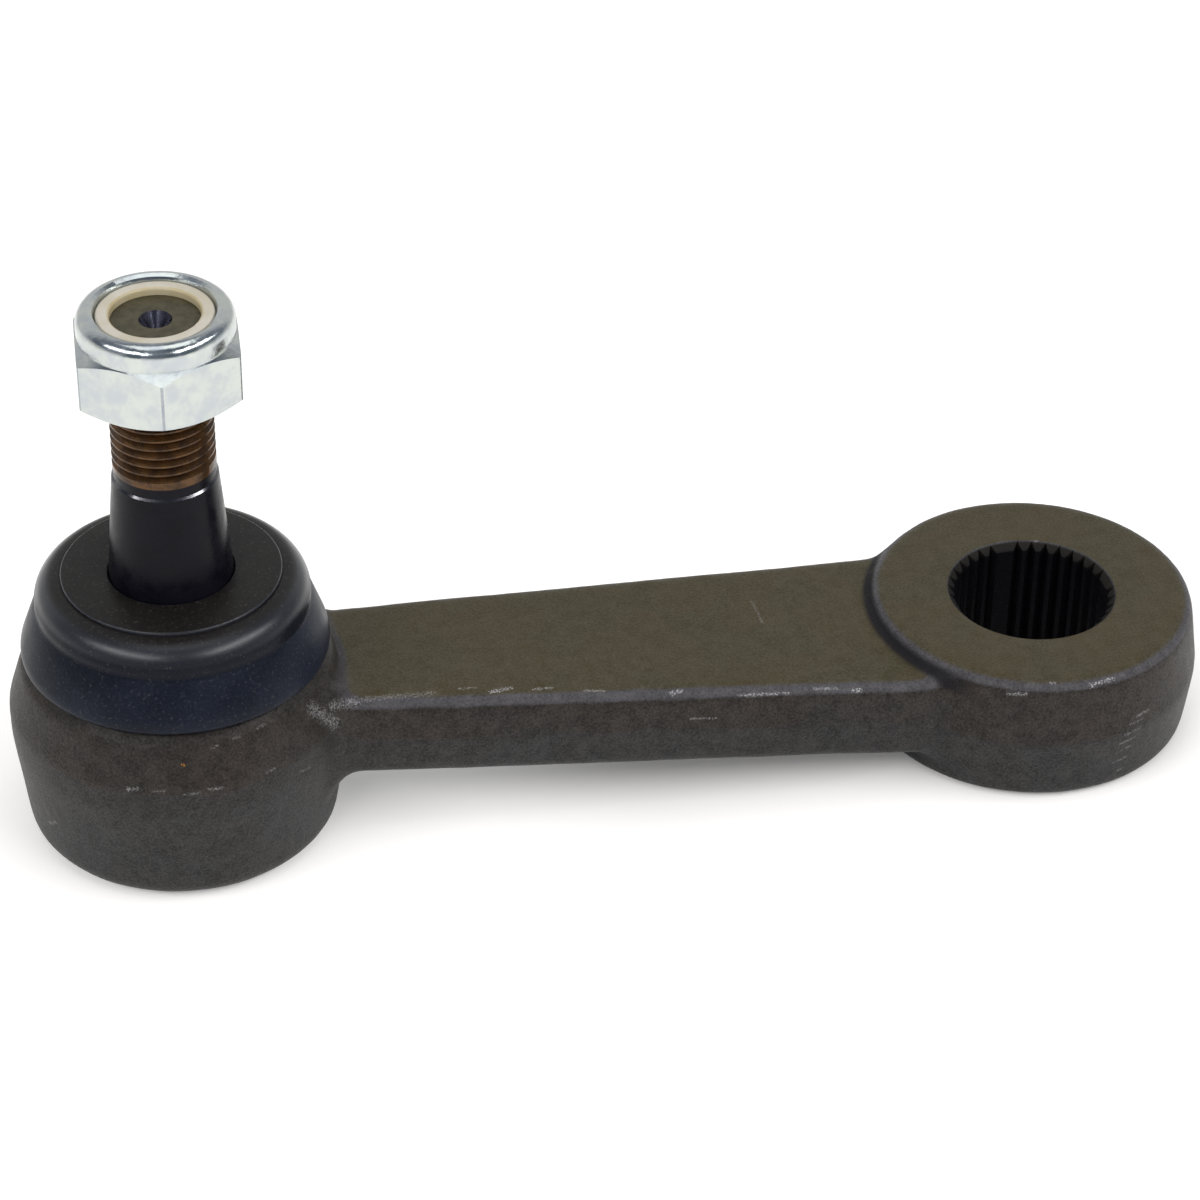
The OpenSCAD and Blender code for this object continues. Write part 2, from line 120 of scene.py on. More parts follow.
class Bench:
    """Modelling steps that several pieces share."""

    weld = 0.002 * MM
    fine_weld = 0.001 * MM

    @staticmethod
    def clear() -> None:
        """Leaves edit mode and deselects everything."""
        if bpy.context.object and bpy.context.object.mode != "OBJECT":
            bpy.ops.object.mode_set(mode="OBJECT")
        bpy.ops.object.select_all(action="DESELECT")

    @staticmethod
    def take(piece: bpy.types.Object) -> None:
        """Makes one piece the only selected and active one.

        Args:
            piece: The piece to work on.
        """
        Bench.clear()
        piece.select_set(True)
        bpy.context.view_layer.objects.active = piece

    @staticmethod
    @contextmanager
    def editing(piece: bpy.types.Object, whole: bool = True) -> Iterator[None]:
        """Edit mode on one piece.

        Args:
            piece: The piece to edit.
            whole: Whether everything in it is selected first, and not what was selected in code.
        """
        Bench.take(piece)
        bpy.ops.object.mode_set(mode="EDIT")
        if whole:
            bpy.ops.mesh.select_all(action="SELECT")
        yield
        bpy.ops.object.mode_set(mode="OBJECT")

    @staticmethod
    def named(name: str) -> bpy.types.Object:
        """Names the piece that was just added and puts its place into its mesh.

        Args:
            name: Name of the piece.

        Returns:
            The piece.
        """
        piece = bpy.context.object
        piece.name = name
        bpy.ops.object.transform_apply(location=True, rotation=True, scale=True)
        return piece

    @staticmethod
    def chain(name: str, points: Sequence[Vector]) -> bpy.types.Object:
        """Draws a line of edges by extruding one vertex from point to point.

        Args:
            name: Name of the piece.
            points: Points of the line, in order.

        Returns:
            The piece, which holds edges only.
        """
        Bench.clear()
        bpy.ops.mesh.primitive_plane_add(size=MM, location=points[0])
        piece = Bench.named(name)
        with Bench.editing(piece):
            bpy.ops.mesh.merge(type="CENTER")
            for before, after in zip(points, points[1:]):
                step = {"value": after - before}
                bpy.ops.mesh.extrude_region_move(TRANSFORM_OT_translate=step)
        return piece

    @staticmethod
    def turned(name: str, axis_x: float, profile: Sequence[Point], steps: int) -> bpy.types.Object:
        """Turns a closed solid by spinning a profile about an upright axis.

        Args:
            name: Name of the piece.
            axis_x: Place of the axis along X.
            profile: Radius and height of each point, closed on the axis or on itself.
            steps: Facets in the full turn.

        Returns:
            The turned piece.
        """
        piece = Bench.chain(name, [Vector((axis_x + r, 0, z)) for r, z in profile])
        with Bench.editing(piece):
            bpy.ops.mesh.spin(steps=steps, angle=FULL_TURN, center=(axis_x, 0, 0), axis=(0, 0, 1))
            Bench.close()
        return piece

    @staticmethod
    def close() -> None:
        """Merges doubled points and turns all faces outwards, in edit mode."""
        bpy.ops.mesh.select_all(action="SELECT")
        bpy.ops.mesh.remove_doubles(threshold=Bench.weld)
        bpy.ops.mesh.normals_make_consistent(inside=False)

    @staticmethod
    def copy_of(node: str, name: str) -> bpy.types.Object:
        """Starts a piece from a merged copy of a CAD node's mesh.

        Args:
            node: Name of the CAD node.
            name: Name of the new piece.

        Returns:
            The new piece.
        """
        piece = bpy.data.objects.new(name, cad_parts[node].data.copy())
        bpy.context.scene.collection.objects.link(piece)
        piece.data.materials.clear()
        Bench.take(piece)
        bpy.ops.mesh.customdata_custom_splitnormals_clear()
        with Bench.editing(piece):
            bpy.ops.mesh.remove_doubles(threshold=Bench.fine_weld)
        return piece

    @staticmethod
    def modify(piece: bpy.types.Object, kind: str, **settings: Any) -> None:
        """Adds a modifier to a piece and applies it.

        Args:
            piece: The piece to change.
            kind: Type of the modifier.
            **settings: Values of the modifier's own settings.
        """
        Bench.take(piece)
        modifier = piece.modifiers.new(kind.lower(), kind)
        for key, value in settings.items():
            setattr(modifier, key, value)
        bpy.ops.object.modifier_apply(modifier=modifier.name)

    @staticmethod
    def combine(piece: bpy.types.Object, tool: bpy.types.Object, how: Cut) -> None:
        """Combines a piece with a tool solid, which is used up."""
        Bench.modify(piece, "BOOLEAN", object=tool, operation=how.value, solver="MANIFOLD")
        bpy.data.objects.remove(tool)

    @staticmethod
    def smooth(piece: bpy.types.Object, angle: float) -> None:
        """Shades a piece smooth, with edges sharper than an angle left crisp."""
        Bench.take(piece)
        bpy.ops.object.shade_smooth_by_angle(angle=math.radians(angle))

    @staticmethod
    def paint(piece: bpy.types.Object, *finishes: "Finish") -> None:
        """Gives a piece its materials, in slot order.

        Args:
            piece: The piece to dress.
            *finishes: One finish for each slot.
        """
        piece.data.materials.clear()
        for finish in finishes:
            piece.data.materials.append(finish.material())


def arc(centre: Point, radius: float, start: float, end: float, steps: int) -> list[Point]:
    """Points along an arc."""
    turns = [math.radians(start + (end - start) * i / steps) for i in range(steps + 1)]
    return [(centre[0] + radius * math.cos(t), centre[1] + radius * math.sin(t)) for t in turns]


class Graph:
    """A shader node tree with short calls to add nodes and join them."""

    def __init__(self, tree: bpy.types.NodeTree) -> None:
        """Takes over a node tree."""
        self.tree = tree

    @classmethod
    def of(cls, owner: bpy.types.Material | bpy.types.World) -> "Graph":
        """Empties the node tree of a material or world and takes it over.

        Args:
            owner: The material or world.

        Returns:
            The graph of its tree.
        """
        owner.use_nodes = True
        owner.node_tree.nodes.clear()
        return cls(owner.node_tree)

    def join(self, source: bpy.types.NodeSocket, target: bpy.types.NodeSocket) -> None:
        """Links an output socket to an input socket."""
        self.tree.links.new(source, target)

    def add(self, kind: str, inputs: dict[Any, Any] | None = None, **settings: Any) -> bpy.types.Node:
        """Adds a node.

        Args:
            kind: Blender's name of the node type, without its prefix.
            inputs: Values or output sockets for the node's inputs, by name or index.
            **settings: The node's own settings.

        Returns:
            The node.
        """
        node = self.tree.nodes.new("ShaderNode" + kind)
        for key, value in settings.items():
            setattr(node, key, value)
        for key, value in (inputs or {}).items():
            if isinstance(value, bpy.types.NodeSocket):
                self.join(value, node.inputs[key])
            else:
                node.inputs[key].default_value = value
        return node

    def math(self, operation: str, first: Any, second: Any = 0.0, clamp: bool = False) -> bpy.types.NodeSocket:
        """Adds a Math node."""
        return self.add("Math", {0: first, 1: second}, operation=operation, use_clamp=clamp).outputs[0]

    def ramp(self, value: bpy.types.NodeSocket, low: float, high: float) -> bpy.types.NodeSocket:
        """Stretches a value smoothly from a range to 0 to 1."""
        ends = {"Value": value, "From Min": low, "From Max": high}
        return self.add("MapRange", ends, interpolation_type="SMOOTHSTEP").outputs["Result"]

    def span(self, value: bpy.types.NodeSocket, low: float, high: float) -> bpy.types.NodeSocket:
        """Turns a value from 0 to 1 into one between two limits."""
        return self.add("MapRange", {"Value": value, "To Min": low, "To Max": high}).outputs["Result"]

    def mix(self, share: Any, first: Any, second: Any) -> bpy.types.NodeSocket:
        """Mixes two colours.

        Args:
            share: Share of the second colour, as a value or socket.
            first: First colour or socket.
            second: Second colour or socket.

        Returns:
            The mixed colour's socket.
        """
        pair = [c if isinstance(c, bpy.types.NodeSocket) else (*c, 1.0) for c in (first, second)]
        node = self.add("Mix", {0: share, 6: pair[0], 7: pair[1]}, data_type="RGBA")
        return node.outputs[2]

    def vector(self, operation: str, first: Any, second: Any) -> bpy.types.Node:
        """Adds a Vector Math node."""
        key = "Scale" if operation == "SCALE" else 1
        return self.add("VectorMath", {0: first, key: second}, operation=operation)

    def noise(self, where: Any, scale: Any, detail: float, rough: float = 0.5) -> bpy.types.NodeSocket:
        """Adds a noise texture and gives its value, around 0.5."""
        values = {"Vector": where, "Scale": scale, "Detail": detail, "Roughness": rough}
        return self.add("TexNoise", values).outputs[0]

    def split(self, vector: bpy.types.NodeSocket) -> Any:
        """Gives the sockets X, Y and Z of a vector."""
        return self.add("SeparateXYZ", {0: vector}).outputs

    def facing_up(self) -> bpy.types.NodeSocket:
        """Gives 1 where the piece's surface faces up, 0 where it is upright and -1 where it faces down."""
        return self.split(self.add("TexCoord").outputs["Normal"])["Z"]

    def both(self, first: Any, second: Any) -> bpy.types.NodeSocket:
        """Product of two masks."""
        return self.math("MULTIPLY", first, second)


class Groups:
    """Shader node groups that several finishes share, each built once."""

    tone: Range = (0.35, 0.65)
    speck: Range = (0.3, 0.7)
    patch: Range = (0.4, 0.6)
    patches_per_lump = 0.2
    chip_steepness = 12.0
    hollow: Range = (0.495, 0.475)
    ragged_per_metre = 3600.0
    ragged: Range = (0.62, 0.86)
    core_lift = 0.22

    @staticmethod
    def start(name: str, vectors: Sequence[str], values: Sequence[str], results: Sequence[str]) -> Graph:
        """Makes an empty group with its sockets.

        Args:
            name: Name of the group.
            vectors: Inputs that take a vector.
            values: Inputs that take a value.
            results: Outputs, all of them values.

        Returns:
            The graph of the group.
        """
        tree = bpy.data.node_groups.new(name, "ShaderNodeTree")
        for labels, direction, kind in ((vectors, "INPUT", "Vector"), (values, "INPUT", "Float"),
                                        (results, "OUTPUT", "Float")):
            for label in labels:
                tree.interface.new_socket(label, in_out=direction, socket_type="NodeSocket" + kind)
        return Graph(tree)

    @staticmethod
    def ends(graph: Graph) -> tuple[bpy.types.Node, bpy.types.Node]:
        """Adds the input and output nodes of a group."""
        nodes = graph.tree.nodes
        return nodes.new("NodeGroupInput"), nodes.new("NodeGroupOutput")

    @staticmethod
    @cache
    def grain() -> bpy.types.NodeTree:
        """Rough skin in two sizes of grain, for forged, cast and moulded surfaces.

        Returns:
            The group: a height from coarse lumps and fine pits, a mask of each, and one of wide patches.
        """
        graph = Groups.start("Skin grain", ("Vector",), ("Lumps per metre", "Pits per metre", "Pit share"),
                             ("Height", "Tone", "Speck", "Patch"))
        start, end = Groups.ends(graph)
        where = start.outputs["Vector"]
        lumps = graph.noise(where, start.outputs["Lumps per metre"], detail=5.0, rough=0.6)
        pits = graph.noise(where, start.outputs["Pits per metre"], detail=3.0, rough=0.7)
        share = start.outputs["Pit share"]
        height = graph.math("ADD", graph.math("MULTIPLY", pits, share),
                            graph.math("MULTIPLY", lumps, graph.math("SUBTRACT", 1.0, share)))
        graph.join(height, end.inputs["Height"])
        graph.join(graph.ramp(lumps, *Groups.tone), end.inputs["Tone"])
        graph.join(graph.ramp(pits, *Groups.speck), end.inputs["Speck"])
        wide = graph.math("MULTIPLY", start.outputs["Lumps per metre"], Groups.patches_per_lump)
        graph.join(graph.ramp(graph.noise(where, wide, detail=3.0), *Groups.patch), end.inputs["Patch"])
        return graph.tree

    @staticmethod
    @cache
    def wear_and_shade() -> bpy.types.NodeTree:
        """Rubbed spots along edges that stand out, broken up by noise, and the hollows where shade is painted.

        Returns:
            The group: a mask that is 1 where the finish is rubbed off, and one of the hollows, where shade is painted.
        """
        graph = Groups.start("Edge wear", ("Vector",), ("Edge from", "Edge to", "Chips per metre", "Chip limit"),
                             ("Mask", "Hollow"))
        start, end = Groups.ends(graph)
        point = graph.add("NewGeometry").outputs["Pointiness"]
        edge = graph.add("MapRange", {"Value": point, "From Min": start.outputs["Edge from"],
                                      "From Max": start.outputs["Edge to"]}).outputs["Result"]
        chips = graph.noise(start.outputs["Vector"], start.outputs["Chips per metre"], detail=6.0, rough=0.7)
        above = graph.math("SUBTRACT", chips, start.outputs["Chip limit"])
        chipped = graph.math("MULTIPLY", above, Groups.chip_steepness, clamp=True)
        graph.join(graph.both(edge, chipped), end.inputs["Mask"])
        # Hollows, by low pointiness, where shade is painted into creases.
        graph.join(graph.ramp(point, *Groups.hollow), end.inputs["Hollow"])
        return graph.tree

    @staticmethod
    @cache
    def streak() -> bpy.types.NodeTree:
        """A ragged streak between two points, for nicks, scratches, spots and painted highlights.

        Returns:
            The group: a mask that is 1 within the streak.
        """
        graph = Groups.start("Streak", ("Vector", "From", "To"), ("Width",), ("Mask",))
        start, end = Groups.ends(graph)
        way = graph.vector("SUBTRACT", start.outputs["To"], start.outputs["From"]).outputs[0]
        off = graph.vector("SUBTRACT", start.outputs["Vector"], start.outputs["From"]).outputs[0]
        ahead = graph.vector("DOT_PRODUCT", off, way).outputs["Value"]
        share = graph.math("DIVIDE", ahead, graph.vector("DOT_PRODUCT", way, way).outputs["Value"], clamp=True)
        foot = graph.vector("SCALE", way, share).outputs[0]
        gap = graph.vector("DISTANCE", off, foot).outputs["Value"]
        near = graph.ramp(graph.math("DIVIDE", gap, start.outputs["Width"]), 1.0, 0.0)
        fine = graph.noise(start.outputs["Vector"], Groups.ragged_per_metre, detail=3.0, rough=0.65)
        thick = graph.math("ADD", graph.math("MULTIPLY", near, Groups.core_lift), fine)
        broken = graph.both(graph.ramp(thick, *Groups.ragged), graph.ramp(near, 0.0, 0.5))
        graph.join(broken, end.inputs["Mask"])
        return graph.tree


@dataclass(frozen=True)
class Finish:
    """A surface finish: its colours are linear, its roughness runs from dull to rubbed places."""

    name: str
    base: Colour
    second: Colour
    rough: Range = (0.45, 0.6)
    metal: float = 0.0
    lumps: float = 250.0
    pits: float = 1500.0
    pit_share: float = 0.5
    bump: float = 0.2
    bump_depth: float = 0.1 * MM
    gloss: float = 0.5
    coat: float = 0.0
    coat_rough: float = 0.4

    def material(self) -> bpy.types.Material:
        """Builds the material once and hands it out after that.

        Returns:
            The material.
        """
        found = bpy.data.materials.get(self.name)
        if found:
            return found
        made = bpy.data.materials.new(self.name)
        graph = Graph.of(made)
        shader = graph.add("BsdfPrincipled", {"Metallic": self.metal, "Specular IOR Level": self.gloss,
                                            "Coat Roughness": self.coat_rough})
        graph.add("OutputMaterial", {"Surface": shader.outputs[0]})
        self.dress(graph, shader)
        return made

    def where(self, graph: Graph) -> bpy.types.NodeSocket:
        """Object coordinates of the surface."""
        return graph.add("TexCoord").outputs["Object"]

    def grain(self, graph: Graph, where: bpy.types.NodeSocket) -> bpy.types.Node:
        """Places the grain group with this finish's values."""
        return graph.add("Group", {"Vector": where, "Lumps per metre": self.lumps, "Pits per metre": self.pits,
                                   "Pit share": self.pit_share}, node_tree=Groups.grain())

    def raise_skin(self, graph: Graph, shader: bpy.types.Node, height: bpy.types.NodeSocket) -> None:
        """Joins a height to the shader's normal."""
        bump = graph.add("Bump", {"Strength": self.bump, "Distance": self.bump_depth, "Height": height})
        graph.join(bump.outputs[0], shader.inputs["Normal"])

    def dress(self, graph: Graph, shader: bpy.types.Node) -> None:
        """Joins colour, roughness and grain to the shader.

        Args:
            graph: The material's graph.
            shader: The shader node.
        """
        grain = self.grain(graph, self.where(graph))
        colour = graph.mix(grain.outputs["Tone"], self.base, self.second)
        graph.join(colour, shader.inputs["Base Color"])
        rough = graph.span(grain.outputs["Tone"], *self.rough)
        graph.join(rough, shader.inputs["Roughness"])
        self.raise_skin(graph, shader, grain.outputs["Height"])


@dataclass(frozen=True)
class Mark:
    """A nick, scratch, spot or painted highlight on the skin, as a streak between two points, in millimetres."""

    start: Place
    end: Place
    width: float
    strength: float = 1.0
    rusty: bool = False

    def on(self, piece: bpy.types.Object) -> "Mark":
        """Moves the mark onto a piece's skin."""
        spots = [piece.closest_point_on_mesh(Vector(spot) * MM)[1] / MM for spot in (self.start, self.end)]
        return replace(self, start=tuple(spots[0]), end=tuple(spots[1]))

    def mask(self, graph: Graph, where: bpy.types.NodeSocket) -> bpy.types.NodeSocket:
        """Adds the mark to a material.

        Args:
            graph: The material's graph.
            where: Coordinates' socket.

        Returns:
            The mark's mask.
        """
        ends = {"From": Vector(self.start) * MM, "To": Vector(self.end) * MM, "Width": self.width * MM}
        streak = graph.add("Group", {"Vector": where, **ends}, node_tree=Groups.streak())
        return graph.math("MULTIPLY", streak.outputs["Mask"], self.strength)


@dataclass(frozen=True)
class ForgedScale(Finish):
    """Oiled forging scale: olive on top, brown on the sides and greyish where they face down, a painted floor
    reflection; greyer on rounded upper edges as a painted highlight; painted shade in hollows; black in the bore as
    painted shade.
    """

    # Side colours: the first is a painted floor reflection on sides that face down, the second is brown.
    floor_reflection_grey: Colour = (0.0160, 0.0155, 0.0158)
    brown: Colour = (0.0185, 0.0135, 0.0105)
    # Painted highlight colour of the rounded upper edges.
    edge: Colour = (0.054, 0.051, 0.056)
    # Painted shade: near-black colour for the hollows and the step line at the eye.
    hollow_shade: Colour = (0.006, 0.005, 0.007)
    # Painted shade of the bore: near black deep in it, dark olive at its chamfer.
    black: Colour = (0.0025, 0.0025, 0.004)
    mouth: Colour = (0.012, 0.011, 0.009)
    bare_and_glint: Colour = (0.40, 0.39, 0.40)
    rust: Colour = (0.36, 0.15, 0.02)
    tan: Colour = (0.060, 0.040, 0.018)
    bore_r: Range = (14.2 * MM, 13.8 * MM)
    bore_top: Range = (11.2 * MM, 10.8 * MM)
    bore_deep: Range = (10.6 * MM, 9.4 * MM)
    step_inner: Range = (25.4 * MM, 26.3 * MM)
    step_outer: Range = (28.0 * MM, 26.9 * MM)
    step_z: Range = (6.6 * MM, 8.1 * MM)
    step_x: Range = (-15.0 * MM, -20.0 * MM)
    housing_x: Range = (-118.0 * MM, -112.0 * MM)
    brown_from: Range = (-0.08, 0.16)
    band_from: Range = (0.33, 0.55)
    flat_from: Range = (0.86, 0.985)
    side_tones: Range = (0.4, 1.7)
    band_tones: Range = (0.65, 1.4)
    sheen_tones: Range = (0.3, 1.9)
    hollow_sheen: float = 0.1
    lump_share: float = 0.35
    patch_share: float = 0.3
    tan_share: float = 0.25
    hollow_share: float = 0.6
    step_share: float = 0.92
    bare_and_glint_metal: float = 0.3
    edge_from: float = 0.515
    edge_to: float = 0.56
    chips: float = 420.0
    chip_limit: float = 0.64
    marks: tuple[Mark, ...] = ()

    def dress(self, graph: Graph, shader: bpy.types.Node) -> None:
        """Joins the scale's colours, edge chips and marks, painted shade and highlights, and grain to the shader.

        Args:
            graph: The material's graph.
            shader: The shader node.
        """
        where = self.where(graph)
        grain = self.grain(graph, where)
        limits = {"Edge from": self.edge_from, "Edge to": self.edge_to, "Chips per metre": self.chips,
                  "Chip limit": self.chip_limit}
        wear_and_shade = graph.add("Group", {"Vector": where, **limits}, node_tree=Groups.wear_and_shade())
        place = graph.split(where)
        off = graph.math("SQRT", graph.math("ADD", graph.math("POWER", place["X"], 2.0),
                                            graph.math("POWER", place["Y"], 2.0)))
        bore = self.bore(graph, place, off)
        speck = graph.math("ADD", graph.math("MULTIPLY", grain.outputs["Tone"], self.lump_share),
                           graph.math("MULTIPLY", grain.outputs["Speck"], 1 - self.lump_share))
        skin = self.skin(graph, speck, grain.outputs["Patch"], place)
        # Painted shade: the step line where the arm meets the eye and the hollows found by pointiness are darkened.
        step = graph.math("MULTIPLY", self.step(graph, place, off), self.step_share)
        hollow = graph.math("MAXIMUM", graph.math("MULTIPLY", wear_and_shade.outputs["Hollow"], self.hollow_share), step)
        colour = graph.mix(hollow, skin, self.hollow_shade)
        # Painted shade in the bore: dark olive at the chamfer, near black deeper down.
        deep = graph.ramp(place["Z"], *self.bore_deep)
        colour = graph.mix(bore, colour, graph.mix(deep, self.mouth, self.black))
        # Rubbed metal at chipped edges and nicks, plus painted highlights from the glint marks.
        bare_and_glint = self.streaks(graph, where, rusty=False)
        bare_and_glint = graph.math("MAXIMUM", graph.both(wear_and_shade.outputs["Mask"], graph.math("SUBTRACT", 1.0, bore)), bare_and_glint)
        colour = graph.mix(self.streaks(graph, where, rusty=True), graph.mix(bare_and_glint, colour, self.bare_and_glint), self.rust)
        graph.join(colour, shader.inputs["Base Color"])
        graph.join(graph.span(grain.outputs["Tone"], *self.rough), shader.inputs["Roughness"])
        graph.join(graph.math("MULTIPLY", bare_and_glint, self.bare_and_glint_metal), shader.inputs["Metallic"])
        # Less coat in the bore and in the hollows: painted shade in the reflections; elsewhere the coat follows the
        # grain.
        sheen = graph.both(graph.span(speck, *self.sheen_tones), graph.span(bore, self.coat, 0.0))
        graph.join(graph.both(sheen, graph.span(hollow, 1.0, self.hollow_sheen)), shader.inputs["Coat Weight"])
        self.raise_skin(graph, shader, grain.outputs["Height"])

    def skin(self, graph: Graph, speck: Any, patch: Any, place: Any) -> bpy.types.NodeSocket:
        """Colour of the scale, by the way that the surface faces, with a painted floor reflection and a painted edge
        highlight.

        Args:
            graph: The material's graph.
            speck: Mask of the fine grain.
            patch: Mask of the wide patches.
            place: Sockets of the three coordinates.

        Returns:
            The colour's socket.
        """
        facing = graph.facing_up()
        # Painted floor reflection: sides facing down go greyish, those facing up brown, mixed with real brown patches.
        upper = graph.ramp(facing, *self.brown_from)
        brownish = graph.math("ADD", graph.math("MULTIPLY", upper, 1 - self.patch_share),
                              graph.math("MULTIPLY", patch, self.patch_share))
        side = graph.mix(brownish, self.floor_reflection_grey, self.brown)
        past_housing = graph.ramp(place["X"], *self.housing_x)
        # Painted highlight: a lighter violet band on the rounded upper edges, by facing, left off the housing.
        band = graph.both(graph.ramp(facing, *self.band_from), past_housing)
        rough = graph.vector("SCALE", side, graph.span(speck, *self.side_tones)).outputs[0]
        edge_highlight = graph.vector("SCALE", self.edge, graph.span(speck, *self.band_tones)).outputs[0]
        grainy = graph.mix(band, rough, edge_highlight)
        stained = graph.math("MULTIPLY", patch, self.tan_share)
        flat = graph.mix(stained, graph.mix(speck, self.base, self.second), self.tan)
        return graph.mix(graph.ramp(facing, *self.flat_from), grainy, flat)

    def bore(self, graph: Graph, place: Any, off: Any) -> bpy.types.NodeSocket:
        """Mask of the bore's wall, where shade is painted, fading out on its upper chamfer."""
        return graph.both(graph.ramp(off, *self.bore_r), graph.ramp(place["Z"], *self.bore_top))

    def step(self, graph: Graph, place: Any, off: Any) -> bpy.types.NodeSocket:
        """Mask of the line where the arm's upper face meets the eye, where shade is painted.

        Args:
            graph: The material's graph.
            place: Sockets of the three coordinates.
            off: Distance from the bore's axis.

        Returns:
            The mask's socket.
        """
        ring = graph.both(graph.ramp(off, *self.step_inner), graph.ramp(off, *self.step_outer))
        above = graph.ramp(place["Z"], *self.step_z)
        return graph.both(graph.both(ring, above), graph.ramp(place["X"], *self.step_x))

    def streaks(self, graph: Graph, where: bpy.types.NodeSocket, rusty: bool) -> Any:
        """Mask of all marks of one kind.

        Args:
            graph: The material's graph.
            where: Coordinates' socket.
            rusty: Whether rust is asked for, and not rubbed metal or painted highlights.

        Returns:
            The mask's socket, or 0 where there is no such mark.
        """
        found: Any = 0.0
        for mark in self.marks:
            if mark.rusty == rusty:
                found = graph.math("MAXIMUM", mark.mask(graph, where), found)
        return found


@dataclass(frozen=True)
class DustyRubber(Finish):
    """Moulded rubber, blue-black on its sides, greyer with dust where it faces up."""

    dust: Colour = (0.0088, 0.0078, 0.0072)
    skirt: Colour = (0.0085, 0.0112, 0.0190)
    fleck: Colour = (0.060, 0.054, 0.050)
    cloud_tones: Range = (0.8, 1.25)
    speck_tones: Range = (0.75, 1.25)
    dust_tones: Range = (0.7, 1.3)
    dust_from: Range = (0.8, 0.99)
    fleck_from: float = 0.88
    fleck_share: float = 0.6
    dust_rough: float = 0.2
    dust_sheen: float = 0.3
    crease_z: Range = (29.0 * MM, 29.8 * MM)
    shoulder_z: Range = (31.2 * MM, 32.6 * MM)

    def dress(self, graph: Graph, shader: bpy.types.Node) -> None:
        """Joins the rubber's colours and grain to the shader.

        Args:
            graph: The material's graph.
            shader: The shader node.
        """
        where = self.where(graph)
        grain = self.grain(graph, where)
        height = graph.split(where)["Z"]
        cap = graph.mix(grain.outputs["Patch"], self.base, self.second)
        cloudy = graph.both(graph.span(grain.outputs["Patch"], *self.cloud_tones),
                            graph.span(grain.outputs["Speck"], *self.speck_tones))
        skirt = graph.vector("SCALE", self.skirt, cloudy).outputs[0]
        rubber = graph.mix(graph.ramp(height, *self.crease_z), skirt, cap)
        facing = graph.facing_up()
        dusty = graph.vector("SCALE", self.dust, graph.span(grain.outputs["Speck"], *self.dust_tones)).outputs[0]
        settled = graph.ramp(facing, *self.dust_from)
        sheen = graph.span(graph.ramp(height, *self.shoulder_z), 0.0, self.coat)
        graph.join(graph.both(sheen, graph.span(settled, 1.0, self.dust_sheen)), shader.inputs["Coat Weight"])
        flecks = graph.span(graph.ramp(grain.outputs["Speck"], self.fleck_from, 1.0), 0.0, self.fleck_share)
        colour = graph.mix(flecks, graph.mix(settled, rubber, dusty), self.fleck)
        graph.join(colour, shader.inputs["Base Color"])
        duller = graph.math("MULTIPLY", settled, self.dust_rough)
        rough = graph.math("ADD", graph.span(grain.outputs["Tone"], *self.rough), duller)
        graph.join(rough, shader.inputs["Roughness"])
        self.raise_skin(graph, shader, grain.outputs["Height"])


